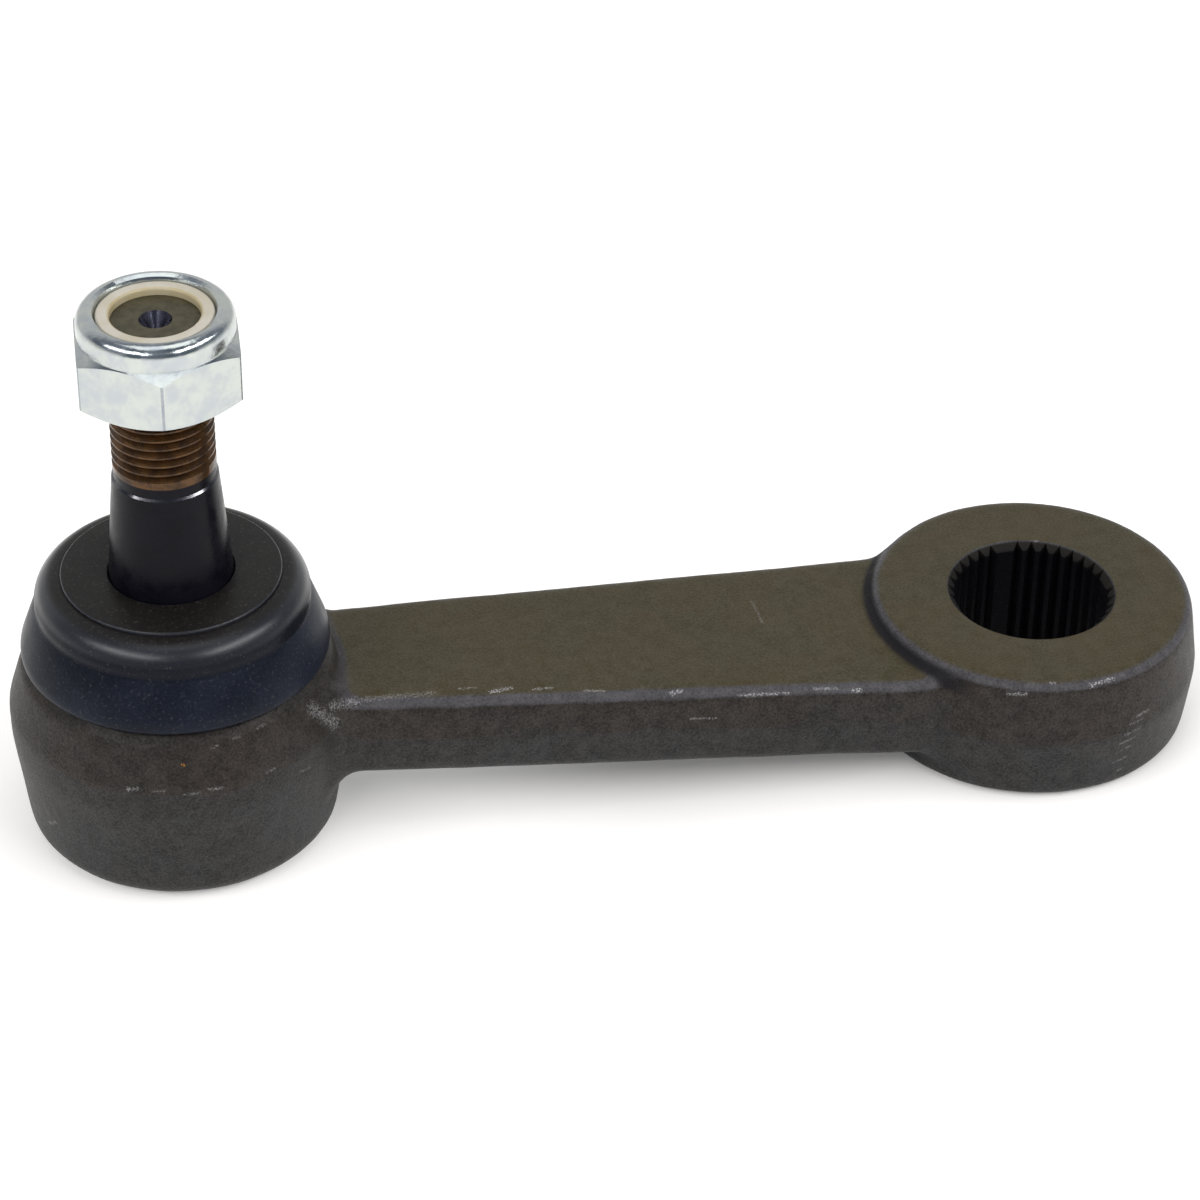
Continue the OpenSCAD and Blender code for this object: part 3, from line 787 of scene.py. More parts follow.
MARKS = (
    Mark((-97.0, -11.4, 13.8), (-94.5, -11.3, 13.7), 0.6, 0.6),
    Mark((-92.2, -12.5, 13.4), (-89.1, -12.0, 13.2), 0.9),
    Mark((-85.6, -12.7, 13.0), (-82.4, -12.6, 12.8), 0.6, 0.6),
    Mark((-77.5, -13.6, 12.1), (-74.5, -13.9, 11.9), 0.6, 0.5),
    Mark((-64.0, -15.3, 10.8), (-62.3, -15.1, 11.0), 0.8, 0.9),
    Mark((-53.2, -16.3, 9.5), (-45.2, -16.6, 9.1), 0.6, 0.8),
    Mark((-41.0, -16.6, 9.3), (-37.0, -16.9, 9.0), 0.6, 0.5),
    Mark((-34.6, -17.3, 8.4), (-33.6, -17.3, 8.4), 0.9),
    Mark((-61.1, -16.6, 6.3), (-56.9, -16.8, 6.0), 0.45, 0.5),
    Mark((-45.3, 6.7, 10.2), (-45.0, 1.1, 10.2), 0.6, 0.3),
    Mark((-11.2, -24.0, 9.2), (-8.6, -24.8, 9.5), 0.7, 0.6),
    Mark((-4.5, -24.6, 11.0), (-3.8, -24.8, 11.0), 0.6, 0.6),
    Mark((1.8, -25.8, 10.3), (5.8, -25.0, 10.7), 0.8, 0.9),
    Mark((10.6, -25.2, 2.4), (12.6, -24.2, 2.6), 0.6, 0.5),
    Mark((8.7, -26.0, 1.5), (11.5, -24.9, 1.5), 0.5, 0.35),
    Mark((8.5, -26.3, -0.2), (11.1, -25.3, 0.1), 0.7, 0.4),
    Mark((7.6, -26.4, -1.8), (10.2, -25.6, -1.5), 0.6, 0.4),
    Mark((7.1, -26.4, -3.6), (9.7, -25.6, -3.2), 0.5, 0.35),
    Mark((6.9, -26.2, -5.8), (9.1, -25.5, -5.4), 0.5, 0.35),
    Mark((7.6, -25.7, -8.1), (8.8, -25.4, -7.8), 0.5, 0.35),
    # Painted highlights, not nicks: glints on the web between housing and arm and along the arm's upper edge.
    Mark((-120.8, -16.4, 17.4), (-117.4, -14.4, 12.2), 2.4, 0.45),
    Mark((-117.4, -14.0, 15.6), (-113.4, -12.6, 14.9), 1.8, 0.5),
    Mark((-113.0, -12.2, 14.8), (-101.0, -11.8, 14.0), 1.2, 0.3),
    Mark((-150.4, -24.0, 12.2), (-148.9, -24.5, 12.4), 0.8, 0.5),
    Mark((-147.2, -25.2, 12.1), (-145.0, -25.7, 12.3), 0.5, 0.3),
    Mark((-142.0, -26.3, 11.5), (-139.8, -26.4, 11.7), 0.6, 0.35),
    Mark((-138.3, -26.3, 12.1), (-136.4, -26.2, 11.9), 0.7, 0.45),
    Mark((-137.4, -24.3, 18.3), (-136.4, -24.1, 18.6), 0.5, 0.3),
    Mark((-134.2, -23.6, 18.9), (-133.0, -23.1, 19.0), 0.5, 0.3),
    Mark((-130.0, -21.9, 19.2), (-129.0, -21.3, 19.3), 0.5, 0.3),
    Mark((-129.2, -24.2, 12.2), (-127.9, -23.6, 12.3), 0.5, 0.3),
    Mark((-123.8, -21.1, 9.1), (-122.0, -19.7, 8.5), 0.6, 0.25),
    Mark((-160.9, -13.2, -1.0), (-161.9, -11.6, -2.4), 0.8, 0.4),
    Mark((-142.1, -24.8, 16.4), (-141.8, -25.0, 16.1), 0.45, 1.0, rusty=True),
)
FORGED = ForgedScale("forged_scale", (0.034, 0.0275, 0.010), (0.059, 0.0505, 0.0255), rough=(0.42, 0.58), lumps=420.0,
                     pits=2600.0, bump=0.9, bump_depth=0.36 * MM, gloss=0.12, coat=0.3, coat_rough=0.5)
OXIDE = Finish("black_oxide", (0.0030, 0.0030, 0.0058), (0.0050, 0.0050, 0.0086), rough=(0.22, 0.34), lumps=300.0,
               pits=3000.0, bump_depth=0.06 * MM, gloss=0.11)
BURNISHED = Finish("burnished_edge", (0.16, 0.155, 0.165), (0.10, 0.095, 0.105), rough=(0.14, 0.22), metal=1.0,
                   lumps=300.0, pits=3000.0, bump=0.1, bump_depth=0.03 * MM)
OILED = Finish("oiled_thread", (0.10, 0.048, 0.016), (0.040, 0.020, 0.009), rough=(0.16, 0.30), metal=0.6,
               lumps=500.0, pits=3000.0, bump=0.25, bump_depth=0.06 * MM)
END_FACE = Finish("oiled_end_face", (0.051, 0.043, 0.018), (0.036, 0.030, 0.013), rough=(0.4, 0.55), lumps=500.0,
                  pits=2500.0, bump=0.3, bump_depth=0.06 * MM)
DRILLED = Finish("drilled_hole", (0.10, 0.10, 0.13), (0.04, 0.04, 0.06), rough=(0.15, 0.3), metal=0.9, lumps=900.0)
RUBBER = DustyRubber("dull_rubber", (0.0038, 0.0052, 0.0105), (0.0055, 0.0070, 0.0120), rough=(0.28, 0.36),
                     lumps=260.0, pits=2200.0, bump=0.25, bump_depth=0.08 * MM, gloss=0.10, coat=0.95, coat_rough=0.36)
ZINC = Finish("bright_zinc", (0.56, 0.595, 0.565), (0.48, 0.515, 0.535), rough=(0.14, 0.26), metal=1.0, lumps=320.0,
              pits=1400.0, pit_share=0.06, bump=0.3, bump_depth=0.4 * MM)
# Painted reflection: darker, bluer zinc for the rounded hexagon corners, a grey line between the flats.
ZINC_CORNER = Finish("zinc_corner", (0.30, 0.33, 0.36), (0.38, 0.41, 0.43), rough=(0.2, 0.3), metal=1.0, lumps=400.0,
                     pits=1400.0, bump=0.15, bump_depth=0.05 * MM)
NYLON = Finish("ivory_nylon", (0.44, 0.40, 0.315), (0.49, 0.46, 0.395), rough=(0.35, 0.45), lumps=200.0,
               bump=0.1, bump_depth=0.03 * MM)
# Darker, yellower nylon on the inner slope towards the stud.
NYLON_SLOPE = Finish("darker_nylon_slope", (0.42, 0.35, 0.20), (0.46, 0.40, 0.27), rough=(0.3, 0.4), lumps=200.0,
                     bump=0.1, bump_depth=0.03 * MM)
PHOSPHATE = Finish("phosphated_cover", (0.050, 0.046, 0.038), (0.036, 0.034, 0.030), rough=(0.45, 0.6),
                   lumps=400.0, pits=2400.0, bump=0.3, bump_depth=0.1 * MM)
SINTERED = Finish("sintered_cup", (0.22, 0.21, 0.19), (0.16, 0.155, 0.145), rough=(0.4, 0.55), metal=0.8)
SPRING = Finish("oiled_spring", (0.16, 0.16, 0.17), (0.10, 0.10, 0.11), rough=(0.25, 0.4), metal=0.9)
RESIN = Finish("bearing_resin", (0.58, 0.54, 0.44), (0.52, 0.48, 0.39), rough=(0.4, 0.5), bump=0.1)


@dataclass
class Forging:
    """The arm with its eye and joint housing, from one blank: smoothed skin first, then the machined cuts."""

    datum: Datum
    voxel: float = 0.62 * MM
    smooth_rounds: int = 8
    wave: float = 0.16 * MM
    wave_size: float = 7 * MM
    pitches: int = 36
    masters: int = 4
    master_turn: float = 2.5
    tip_r: float = 12.55 * MM
    root_r: float = 13.7 * MM
    chamfer: float = 1.25 * MM
    lip_r: float = 17.3 * MM
    lip_t: float = 0.9 * MM
    cover_r: float = 18.5 * MM
    cover_top: float = 3.4 * MM
    dome_r: float = 16.64 * MM
    ball_z: float = 19.0 * MM
    dome_turn: float = 39.8
    mouth_r: float = 13.8 * MM
    neck_top: float = 32.8 * MM
    rise_r: tuple[float, float, float] = (18.5 * MM, 22.4 * MM, 23.2 * MM)
    rise_edge: float = 0.2 * MM
    spare: float = 1.0 * MM
    inset: float = 0.02 * MM
    plug_over: float = 0.4 * MM
    facets: int = 96
    mouth_facets: int = 108
    crisp: float = 35.0

    def build(self) -> bpy.types.Object:
        """Builds the forging.

        Returns:
            The finished piece.
        """
        piece = Bench.copy_of("arm_forging", "forging")
        base, top = self.datum.base_z, self.datum.eye_top_z
        for plug in (self.plug("bore_plug", 0.0, self.root_r + self.chamfer, -top, top),
                     self.plug("socket_plug", self.datum.joint_x, self.cover_r + self.plug_over, base,
                               base + self.neck_top), self.shoulder()):
            Bench.combine(piece, plug, Cut.JOIN)
        Bench.modify(piece, "REMESH", mode="VOXEL", voxel_size=self.voxel, use_smooth_shade=True)
        Bench.modify(piece, "SMOOTH", factor=0.5, iterations=self.smooth_rounds)
        self.undulate(piece)
        for cutter in (self.serrations(), *self.mouths(), self.socket()):
            Bench.combine(piece, cutter, Cut.REMOVE)
        Bench.smooth(piece, self.crisp)
        Bench.paint(piece, replace(FORGED, marks=tuple(mark.on(piece) for mark in MARKS)))
        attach(piece, "arm")
        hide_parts("arm_forging")
        return piece

    def undulate(self, piece: bpy.types.Object) -> None:
        """Gives the skin the slow waves of a hammered blank.

        Args:
            piece: The forging.
        """
        texture = bpy.data.textures.new("hammered_wave", "CLOUDS")
        texture.noise_scale = self.wave_size
        Bench.modify(piece, "DISPLACE", texture=texture, texture_coords="LOCAL", strength=self.wave, mid_level=0.5)

    def plug(self, name: str, axis_x: float, r: float, low: float, high: float) -> bpy.types.Object:
        """Fills an opening just short of both its faces, so that the skin is smoothed without it."""
        low, high = low + self.inset, high - self.inset
        return Bench.turned(name, axis_x, [(0, low), (r, low), (r, high), (0, high)], self.facets)

    def shoulder(self) -> bpy.types.Object:
        """Rounded rise of the housing's upper edge, which carries the boot's lip.

        Returns:
            The ring.
        """
        inner, edge, outer = self.rise_r
        low = self.datum.boot_low_z - self.spare
        high = self.datum.boot_low_z + Boot.lip_low
        profile = [(inner, low), (outer, low), (outer, self.datum.boot_low_z + self.rise_edge), (edge, high),
                   (inner, high), (inner, low)]
        return Bench.turned("shoulder_ring", self.datum.joint_x, profile, self.facets)

    def serrations(self) -> bpy.types.Object:
        """Cutter of the serrated bore: a ring with three points a pitch, its roots scaled out.

        Returns:
            The cutter.
        """
        top = self.datum.eye_top_z + self.spare
        Bench.clear()
        bpy.ops.mesh.primitive_circle_add(vertices=3 * self.pitches, radius=self.tip_r, location=(0, 0, -top))
        cutter = Bench.named("serration_cutter")
        step = 360 / self.pitches
        with Bench.editing(cutter):
            bpy.ops.transform.rotate(value=-math.radians(self.master_turn), orient_axis="Z",
                                     center_override=(0, 0, -top))
        for vertex in cutter.data.vertices:
            turn = math.degrees(math.atan2(vertex.co.y, vertex.co.x)) - self.master_turn
            index = round(turn / step)
            on_root = abs(turn - index * step) < step / 6
            vertex.select = on_root and index % (self.pitches // self.masters) != 0
        for edge in cutter.data.edges:
            edge.select = False
        grooves = sum(vertex.select for vertex in cutter.data.vertices)
        scale = self.root_r / self.tip_r
        with Bench.editing(cutter, whole=False):
            bpy.ops.transform.resize(value=(scale, scale, 1), center_override=(0, 0, -top))
            bpy.ops.mesh.select_all(action="SELECT")
            bpy.ops.mesh.edge_face_add()
            bpy.ops.mesh.extrude_region_move(TRANSFORM_OT_translate={"value": (0, 0, 2 * top)})
            Bench.close()
        LOG.info("serrations: %d grooves", grooves)
        return cutter

    def mouths(self) -> list[bpy.types.Object]:
        """Cutters of the chamfers at both mouths of the bore.

        Returns:
            The two cutters.
        """
        made = []
        for side in (1, -1):
            face = self.datum.eye_top_z
            wide = self.tip_r + self.chamfer + self.spare
            deep = face - self.chamfer
            profile = [(0, side * (face + self.spare)), (wide, side * (face + self.spare)),
                       (self.tip_r, side * deep), (0, side * deep)]
            made.append(Bench.turned("mouth_cutter", 0.0, profile, self.mouth_facets))
        return made

    def socket(self) -> bpy.types.Object:
        """Cutter of the ball socket: rolled lip, cover seat, barrel, dome and mouth.

        Returns:
            The cutter.
        """
        base = self.datum.base_z
        ball = base + self.ball_z
        dome = arc((0, ball), self.dome_r, 0, self.dome_turn, 8)
        top = base + self.neck_top
        profile = [(0, base - self.spare), (self.lip_r, base - self.spare), (self.lip_r, base + self.lip_t),
                   (self.cover_r, base + self.lip_t), (self.cover_r, base + self.cover_top),
                   (self.dome_r, base + self.cover_top), *dome, (self.mouth_r, top),
                   (self.mouth_r, top + self.spare), (0, top + self.spare)]
        return Bench.turned("socket_cutter", self.datum.joint_x, profile, self.facets)


@dataclass
class Stud:
    """The ball stud: a turned blank with its thread cut as one helical groove."""

    datum: Datum
    pitch: float = 1.5 * MM
    crest_r: float = 7.85 * MM
    depth: float = 0.9 * MM
    over: float = 0.06 * MM
    thread_len: float = 25.1 * MM
    hole_r: float = 2.6 * MM
    bevel_len: float = 2.0 * MM
    bevel_tilt: float = 0.2
    level: float = 0.97
    flank: float = 30.0
    steps: int = 56
    crisp: float = 30.0

    def build(self) -> bpy.types.Object:
        """Builds the stud.

        Returns:
            The finished piece.
        """
        piece = Bench.copy_of("ball_stud", "stud")
        Bench.combine(piece, self.groove(), Cut.REMOVE)
        Bench.smooth(piece, self.crisp)
        Bench.paint(piece, OXIDE, OILED, END_FACE, DRILLED, BURNISHED)
        for face in piece.data.polygons:
            face.material_index = self.zone(face).value
        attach(piece, "stud")
        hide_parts("ball_stud")
        return piece

    def zone(self, face: bpy.types.MeshPolygon) -> Zone:
        """Picks a face's finish by its place.

        Args:
            face: A face of the stud.

        Returns:
            The zone that the face is in.
        """
        top = self.datum.stud_top_z
        off_axis = math.hypot(face.center.x - self.datum.joint_x, face.center.y)
        below = top - self.thread_len - face.center.z
        if below > 0:
            return Zone.BEVEL if below < self.bevel_len and face.normal.z > self.bevel_tilt else Zone.PLAIN
        if face.normal.z > self.level and face.center.z > top - self.over:
            return Zone.END_FACE
        return Zone.CENTRE_HOLE if off_axis < self.hole_r else Zone.THREAD

    def groove(self) -> bpy.types.Object:
        """Cutter of the thread: a V that climbs one pitch a turn, right-handed.

        Returns:
            The cutter.
        """
        outer = self.crest_r + self.over
        half = (self.depth + self.over) * math.tan(math.radians(self.flank)) + self.pitch / 16
        low = self.datum.stud_top_z - self.thread_len + self.pitch / 2
        tip = self.crest_r - self.depth
        corners = [Vector((tip, 0, low)), Vector((outer, 0, low + half)), Vector((outer, 0, low - half)),
                   Vector((tip, 0, low))]
        cutter = Bench.chain("thread_cutter", corners)
        with Bench.editing(cutter):
            bpy.ops.mesh.remove_doubles(threshold=Bench.fine_weld)
        turns = math.ceil(self.thread_len / self.pitch) + 1
        Bench.modify(cutter, "SCREW", axis="Z", angle=FULL_TURN, screw_offset=self.pitch, iterations=turns,
                     steps=self.steps, render_steps=self.steps, use_merge_vertices=False)
        with Bench.editing(cutter):
            bpy.ops.mesh.fill_holes(sides=3)
            Bench.close()
            bpy.ops.transform.translate(value=(self.datum.joint_x, 0, 0))
        return cutter


@dataclass
class Boot:
    """The dust boot: lip, flared skirt, rounded cap with a raised disc, and a lip round the stud."""

    datum: Datum
    height: float = 15.7 * MM
    lip_low: float = 1.3 * MM
    lip_r: float = 23.9 * MM
    lip_round: float = 1.0 * MM
    foot_r: float = 19.6 * MM
    foot_wide_r: float = 20.0 * MM
    foot_rise: float = 0.9 * MM
    flare_round: float = 4.5 * MM
    flare_turn: float = 20.0
    crease: tuple[Point, Point] = ((21.6 * MM, 9.5 * MM), (21.3 * MM, 9.85 * MM))
    cap_round: float = 4.0 * MM
    cap_centre: Point = (17.24 * MM, 11.03 * MM)
    cap_turn: Range = (-10.0, 82.0)
    moat: tuple[Point, Point] = ((17.2 * MM, 15.08 * MM), (17.0 * MM, 15.05 * MM))
    disc_r: float = 17.0 * MM
    disc_round: float = 0.3 * MM
    flat_r: float = 12.0 * MM
    hole_r: float = 9.7 * MM
    hole_round: float = 0.22 * MM
    wall: float = 2.8 * MM
    room_r: Range = (14.8 * MM, 19.0 * MM)
    room_z: Range = (8.8 * MM, 4.8 * MM)
    held: float = 3.0 * MM
    led: float = 2.0 * MM
    steps: int = 144
    crisp: float = 40.0

    def build(self) -> bpy.types.Object:
        """Builds the boot.

        Returns:
            The finished piece.
        """
        low = self.datum.boot_low_z
        piece = Bench.turned("boot", self.datum.joint_x, [(r, low + z) for r, z in self.profile()], self.steps)
        Bench.smooth(piece, self.crisp)
        Bench.paint(piece, RUBBER)
        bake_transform(piece)
        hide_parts("dust_boot")
        return piece

    def profile(self) -> list[Point]:
        """Outline of the boot's section, with heights above the housing's upper face.

        Returns:
            The closed outline.
        """
        low, high = self.lip_low, self.height
        lip_z = low + self.lip_round
        lip = arc((self.lip_r - self.lip_round, lip_z), self.lip_round, -90, 0, 6)
        flare = arc((self.lip_r - self.flare_round, lip_z), self.flare_round, 0, self.flare_turn, 8)
        cap = arc(self.cap_centre, self.cap_round, *self.cap_turn, 16)
        disc = arc((self.disc_r - self.disc_round, high - self.disc_round), self.disc_round, 0, 90, 4)
        throat_r = self.hole_r + self.hole_round
        hole = arc((throat_r, high - self.hole_round), self.hole_round, 90, 180, 5)
        roof_r, room_r = self.room_r
        room = [(throat_r, high - self.wall), (roof_r, high - self.wall), *((room_r, z) for z in self.room_z)]
        foot = [(self.foot_wide_r, low + self.foot_rise), (self.foot_r, low)]
        return [(self.foot_r, low), *lip, *flare, *self.crease, *cap, *self.moat, *disc, (self.flat_r, high), *hole,
                *room, *foot]


@dataclass
class LockNut:
    """The zinc lock nut with its crimped collar, and the nylon ring that the collar holds."""

    datum: Datum
    flat_r: float = 12.0 * MM
    corner_round: float = 0.45 * MM
    turn: float = 26.0
    corner_span: float = 14.0
    sides: int = 6
    upright: float = 0.05
    slope_r: float = 7.1 * MM
    ring_r: float = 9.6 * MM
    ring_bore_r: float = 7.92 * MM
    ring_round: float = 0.5 * MM
    ring_bevel: float = 0.75 * MM
    crown_r: float = 8.86 * MM
    crown_rise: float = 1.3 * MM
    lip_r: float = 6.75 * MM
    lip_rise: float = 1.25 * MM
    throat_r: float = 6.72 * MM
    throat_rise: float = 0.02 * MM
    slope_drop: float = 1.1 * MM
    fit: float = 0.004 * MM
    ring_facets: int = 96
    crisp: float = 24.0
    ring_crisp: float = 40.0

    def build(self) -> list[bpy.types.Object]:
        """Builds the nut and its ring."""
        return [self.body(), self.ring()]

    def body(self) -> bpy.types.Object:
        """The nut, with its hexagon's corners rounded off.

        Returns:
            The finished piece.
        """
        piece = Bench.copy_of("lock_nut", "nut")
        Bench.combine(piece, self.rounded_hexagon(), Cut.KEEP_SHARED)
        Bench.smooth(piece, self.crisp)
        # The rounded corners get the darker zinc: a painted reflection line between the flats.
        Bench.paint(piece, ZINC, ZINC_CORNER)
        for face in piece.data.polygons:
            face.material_index = int(self.at_corner(face))
        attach(piece, "nut")
        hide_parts("lock_nut")
        return piece

    def at_corner(self, face: bpy.types.MeshPolygon) -> bool:
        """Tells whether a face belongs to a rounded corner of the hexagon.

        Args:
            face: A face of the nut.

        Returns:
            True for the rounded corners.
        """
        turn = math.degrees(math.atan2(face.normal.y, face.normal.x)) - self.turn
        off_axis = math.hypot(face.center.x - self.datum.joint_x, face.center.y)
        upright = abs(face.normal.z) < self.upright and off_axis > self.flat_r
        half = 180 / self.sides
        return upright and abs((turn + half) % (2 * half) - half) < self.corner_span

    def rounded_hexagon(self) -> bpy.types.Object:
        """A tall hexagon just outside the nut's flats, with rounded corners.

        Returns:
            The tool solid.
        """
        half = 180 / self.sides
        corner = (self.flat_r + self.fit) / math.cos(math.radians(half))
        height = 2 * (self.datum.nut_top_z - self.datum.nut_low_z)
        middle = (self.datum.nut_top_z + self.datum.nut_low_z) / 2
        Bench.clear()
        bpy.ops.mesh.primitive_cylinder_add(vertices=self.sides, radius=corner, depth=height,
                                            location=(self.datum.joint_x, 0, middle),
                                            rotation=(0, 0, math.radians(self.turn - half)))
        tool = Bench.named("hexagon_tool")
        points = tool.data.vertices
        for edge in tool.data.edges:
            first, second = (points[i].co for i in edge.vertices)
            edge.select = abs(first.z - second.z) > height / 2
        with Bench.editing(tool, whole=False):
            bpy.ops.mesh.select_mode(type="EDGE")
            bpy.ops.mesh.bevel(offset=self.corner_round, segments=4, affect="EDGES")
            bpy.ops.mesh.select_mode(type="VERT")
        return tool

    def ring(self) -> bpy.types.Object:
        """The nylon ring, with a rounded inner lip.

        Returns:
            The finished piece.
        """
        low, high = (corner.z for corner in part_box("nylon_insert"))
        end = self.datum.stud_top_z
        bore, rounded = self.ring_bore_r, self.ring_round
        crown = arc((self.crown_r - rounded, end + self.crown_rise - rounded), rounded, 0, 90, 5)
        lip = arc((self.lip_r + rounded, end + self.lip_rise - rounded), rounded, 90, 180, 6)
        profile = [(bore, low), (self.ring_r, low), (self.ring_r, high - self.ring_bevel), (self.crown_r, high),
                   *crown, *lip, (self.throat_r, end + self.throat_rise), (bore, end - self.slope_drop), (bore, low)]
        piece = Bench.turned("nylon_ring", self.datum.joint_x, profile, self.ring_facets)
        Bench.smooth(piece, self.ring_crisp)
        # Faces inside the slope radius get the darker, yellower nylon.
        Bench.paint(piece, NYLON, NYLON_SLOPE)
        for face in piece.data.polygons:
            off_axis = math.hypot(face.center.x - self.datum.joint_x, face.center.y)
            face.material_index = int(off_axis < self.slope_r)
        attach(piece, "insert")
        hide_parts("nylon_insert")
        return piece


@dataclass(frozen=True)
class Viewpoint:
    """The camera that fits the photograph: angles in degrees, lengths in metres, focal length in pixels."""

    elevation: float = 36.11
    roll: float = 0.70
    yaw: float = 12.3
    right: float = 70.13 * MM
    up: float = -16.2 * MM
    depth: float = 653.56 * MM
    focal_px: float = 3924.83
    image_px: float = 1200.0
    sensor_mm: float = 36.0
    clip: Range = (0.01, 20.0)

    def place(self, base_z: float) -> bpy.types.Object:
        """Puts the camera in its place.

        Args:
            base_z: Height of the plane that the part stands on.

        Returns:
            The camera.
        """
        lift = math.radians(self.elevation)
        sine, cosine = math.sin(lift), math.cos(lift)
        turn = Matrix.Rotation(math.radians(self.roll), 3, "Y") @ Matrix.Rotation(math.radians(self.yaw), 3, "Z")
        back = turn.transposed()
        spot = Vector((-self.right, -self.up * sine - self.depth * cosine, -self.up * cosine + self.depth * sine))
        axes = [back @ Vector(axis) for axis in ((1, 0, 0), (0, sine, cosine), (0, -cosine, sine))]
        place = Matrix(axes).transposed().to_4x4()
        place.translation = back @ spot + Vector((0, 0, base_z))
        lens = bpy.data.cameras.new("photo_camera")
        lens.sensor_width = self.sensor_mm
        lens.lens = self.sensor_mm * self.focal_px / self.image_px
        lens.clip_start, lens.clip_end = self.clip
        camera = bpy.data.objects.new("photo_camera", lens)
        camera.matrix_world = place
        bpy.context.scene.collection.objects.link(camera)
        bpy.context.scene.camera = camera
        return camera


@dataclass(frozen=True)
class Softbox:
    """A soft lamp: where it stands, what it looks at, its size and its power."""

    name: str
    place: Place
    target: Place
    size: tuple[float, float]
    power: float
    tint: Colour = (1.0, 1.0, 1.0)

    def hang(self) -> None:
        """Adds the lamp to the scene."""
        lamp = bpy.data.lights.new(self.name, "AREA")
        lamp.shape = "RECTANGLE"
        lamp.size, lamp.size_y = self.size
        lamp.energy = self.power
        lamp.color = self.tint
        holder = bpy.data.objects.new(self.name, lamp)
        holder.location = self.place
        holder.rotation_euler = (Vector(self.target) - Vector(self.place)).to_track_quat("-Z", "Y").to_euler()
        bpy.context.scene.collection.objects.link(holder)


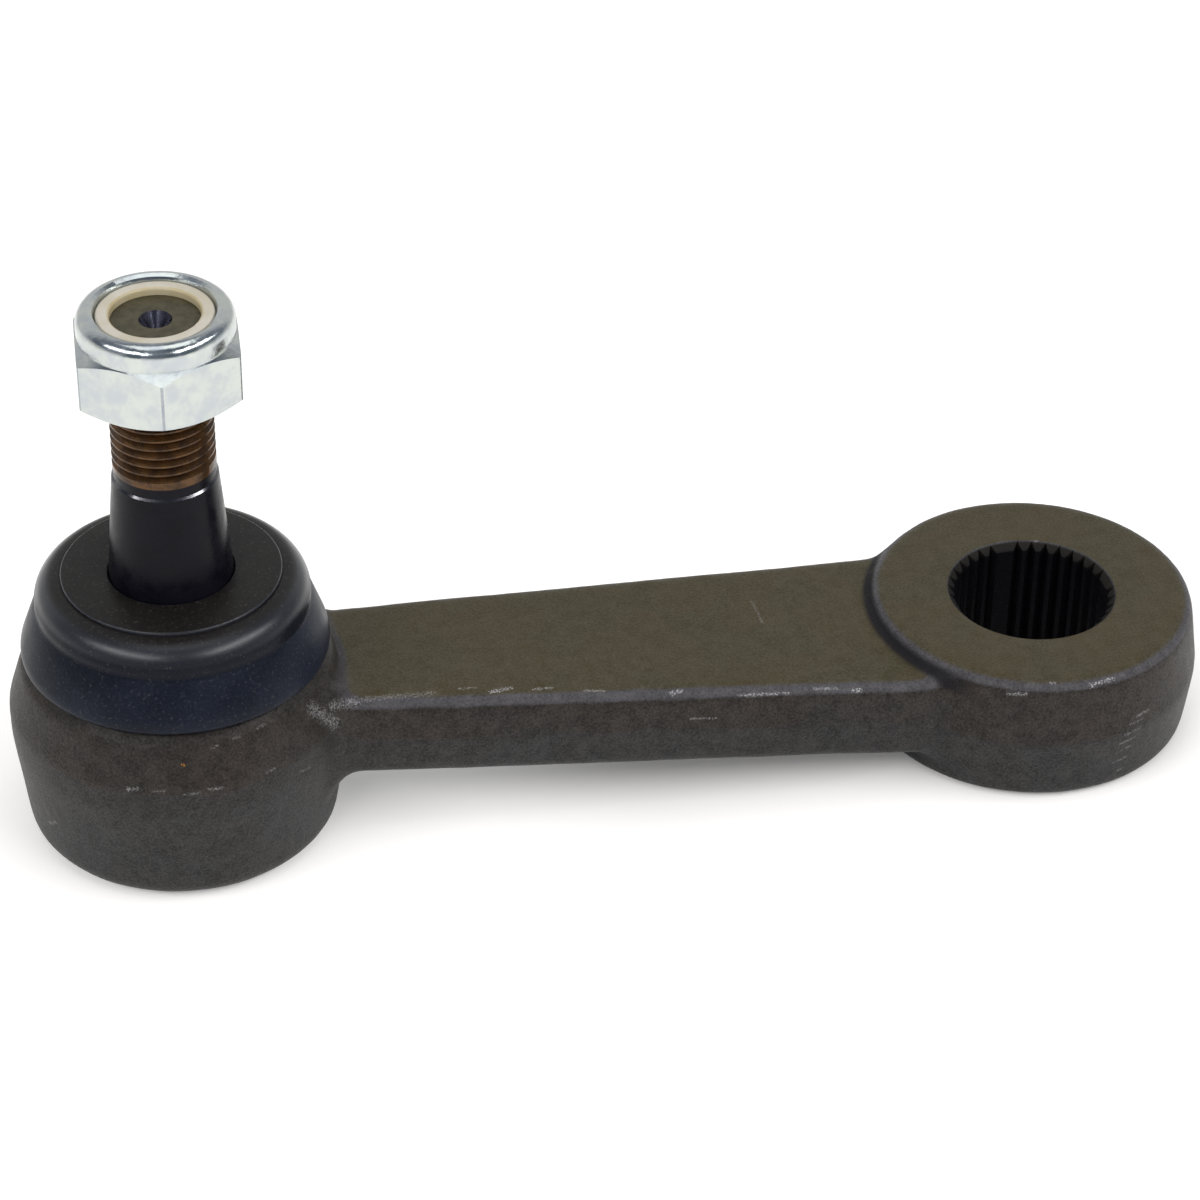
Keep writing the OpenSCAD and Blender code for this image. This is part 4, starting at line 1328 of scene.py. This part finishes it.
@dataclass
class Studio:
    """White sweep, soft lamps and the camera."""

    datum: Datum
    floor_size: float = 8.0
    floor_drop: float = 0.1 * MM
    floor_tone: Colour = (0.872, 0.858, 0.842)
    floor_lift: float = 0.27
    shade_lift: float = 0.10
    shade_x: Range = (-0.100, -0.060)
    shade_end: Range = (0.045, 0.015)
    shade_y: Range = (0.040, 0.014)
    sky: float = 0.55
    dark: Colour = (0.10, 0.125, 0.17)
    sweep: Colour = (0.72, 0.72, 0.72)
    behind_y: Range = (0.2, 0.6)
    behind_z: Range = (0.9, 0.7)
    beside_y: Range = (-0.8, -0.4)
    beside_z: Range = (0.3, 0.05)
    strip: tuple[float, float] = (0.9, 0.11)

    def build(self) -> None:
        """Builds the stage."""
        bpy.context.scene.view_settings.view_transform = "Standard"
        self.floor()
        self.world()
        stud = Vector((self.datum.joint_x, 0, self.datum.nut_low_z / 2))
        for lamp in (
            Softbox("overhead", (-0.08, 0.05, 0.95), (-0.07, 0.0, 0.0), (0.7, 0.5), power=1.6),
            Softbox("left_box", tuple(stud + self.toward(-53, 42)), tuple(stud), self.strip, power=4.0),
            Softbox("right_box", tuple(stud + self.toward(52, 42)), tuple(stud), self.strip, power=4.6),
        ):
            lamp.hang()
        Viewpoint().place(self.datum.base_z)

    @staticmethod
    def toward(azimuth: float, elevation: float) -> Vector:
        """Direction of a lamp, one metre long."""
        turn, lift = math.radians(azimuth), math.radians(elevation)
        return Vector((math.sin(turn) * math.cos(lift), -math.cos(turn) * math.cos(lift), math.sin(lift)))

    def seen(self, graph: Graph) -> bpy.types.NodeSocket:
        """Is 1 where the camera, a reflection or glass sees the surface.

        Args:
            graph: The graph to add the test to.

        Returns:
            The test's socket.
        """
        path = graph.add("LightPath")
        near = graph.math("MAXIMUM", path.outputs["Is Camera Ray"], path.outputs["Is Glossy Ray"])
        return graph.math("MAXIMUM", near, path.outputs["Is Transmission Ray"])

    def floor(self) -> None:
        """The pale floor, which shows white and keeps the shadow."""
        Bench.clear()
        bpy.ops.mesh.primitive_plane_add(size=self.floor_size, location=(0, 0, self.datum.base_z - self.floor_drop))
        floor = Bench.named("floor")
        paint = bpy.data.materials.new("pale_floor")
        graph = Graph.of(paint)
        matt = graph.add("BsdfDiffuse", {"Color": (*self.floor_tone, 1)})
        place = graph.split(graph.add("TexCoord").outputs["Object"])
        beside = graph.ramp(graph.math("ABSOLUTE", place["Y"]), *self.shade_y)
        along = graph.both(graph.ramp(place["X"], *self.shade_x), graph.ramp(place["X"], *self.shade_end))
        shade = graph.both(beside, along)
        glow = graph.both(self.seen(graph), graph.span(shade, self.floor_lift, self.shade_lift))
        lift = graph.add("Emission", {"Strength": glow})
        both = graph.add("AddShader", {0: matt.outputs[0], 1: lift.outputs[0]})
        graph.add("OutputMaterial", {"Surface": both.outputs[0]})
        floor.data.materials.append(paint)

    def world(self) -> None:
        """An even sky: white where the camera sees it, softer where it lights; mirrors see paper and a dark room."""
        world = bpy.data.worlds.new("studio")
        bpy.context.scene.world = world
        graph = Graph.of(world)
        path = graph.add("LightPath")
        way = graph.split(graph.add("TexCoord").outputs["Generated"])
        behind = graph.both(graph.ramp(way["Y"], *self.behind_y), graph.ramp(way["Z"], *self.behind_z))
        beside = graph.both(graph.ramp(way["Y"], *self.beside_y), graph.ramp(way["Z"], *self.beside_z))
        paper = graph.math("MAXIMUM", behind, beside)
        mirrored = graph.mix(paper, self.dark, self.sweep)
        lit = graph.mix(path.outputs["Is Glossy Ray"], (self.sky, self.sky, self.sky), mirrored)
        shown = graph.mix(path.outputs["Is Camera Ray"], lit, (1.0, 1.0, 1.0))
        sky = graph.add("Background", {"Color": shown})
        graph.add("OutputWorld", {"Surface": sky.outputs[0]})


def dress_hidden() -> None:
    """Gives the CAD nodes that stay their finishes."""
    for node, finish in {"end_cover": PHOSPHATE, "lower_bearing": SINTERED, "preload_spring": SPRING,
                         "upper_bearing": RESIN}.items():
        Bench.paint(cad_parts[node], finish)


def main() -> None:
    """Builds every piece, the studio and the camera."""
    logging.basicConfig(level=logging.INFO, format="%(name)s: %(message)s")
    datum = Datum.read()
    builders: list[Callable[[], Any]] = [Forging(datum).build, Stud(datum).build, Boot(datum).build,
                                         LockNut(datum).build]
    for build in builders:
        made = build()
        for piece in made if isinstance(made, list) else [made]:
            LOG.info("%s: %d faces", piece.name, len(piece.data.polygons))
    dress_hidden()
    Studio(datum).build()


if __name__ == "__main__":
    main()
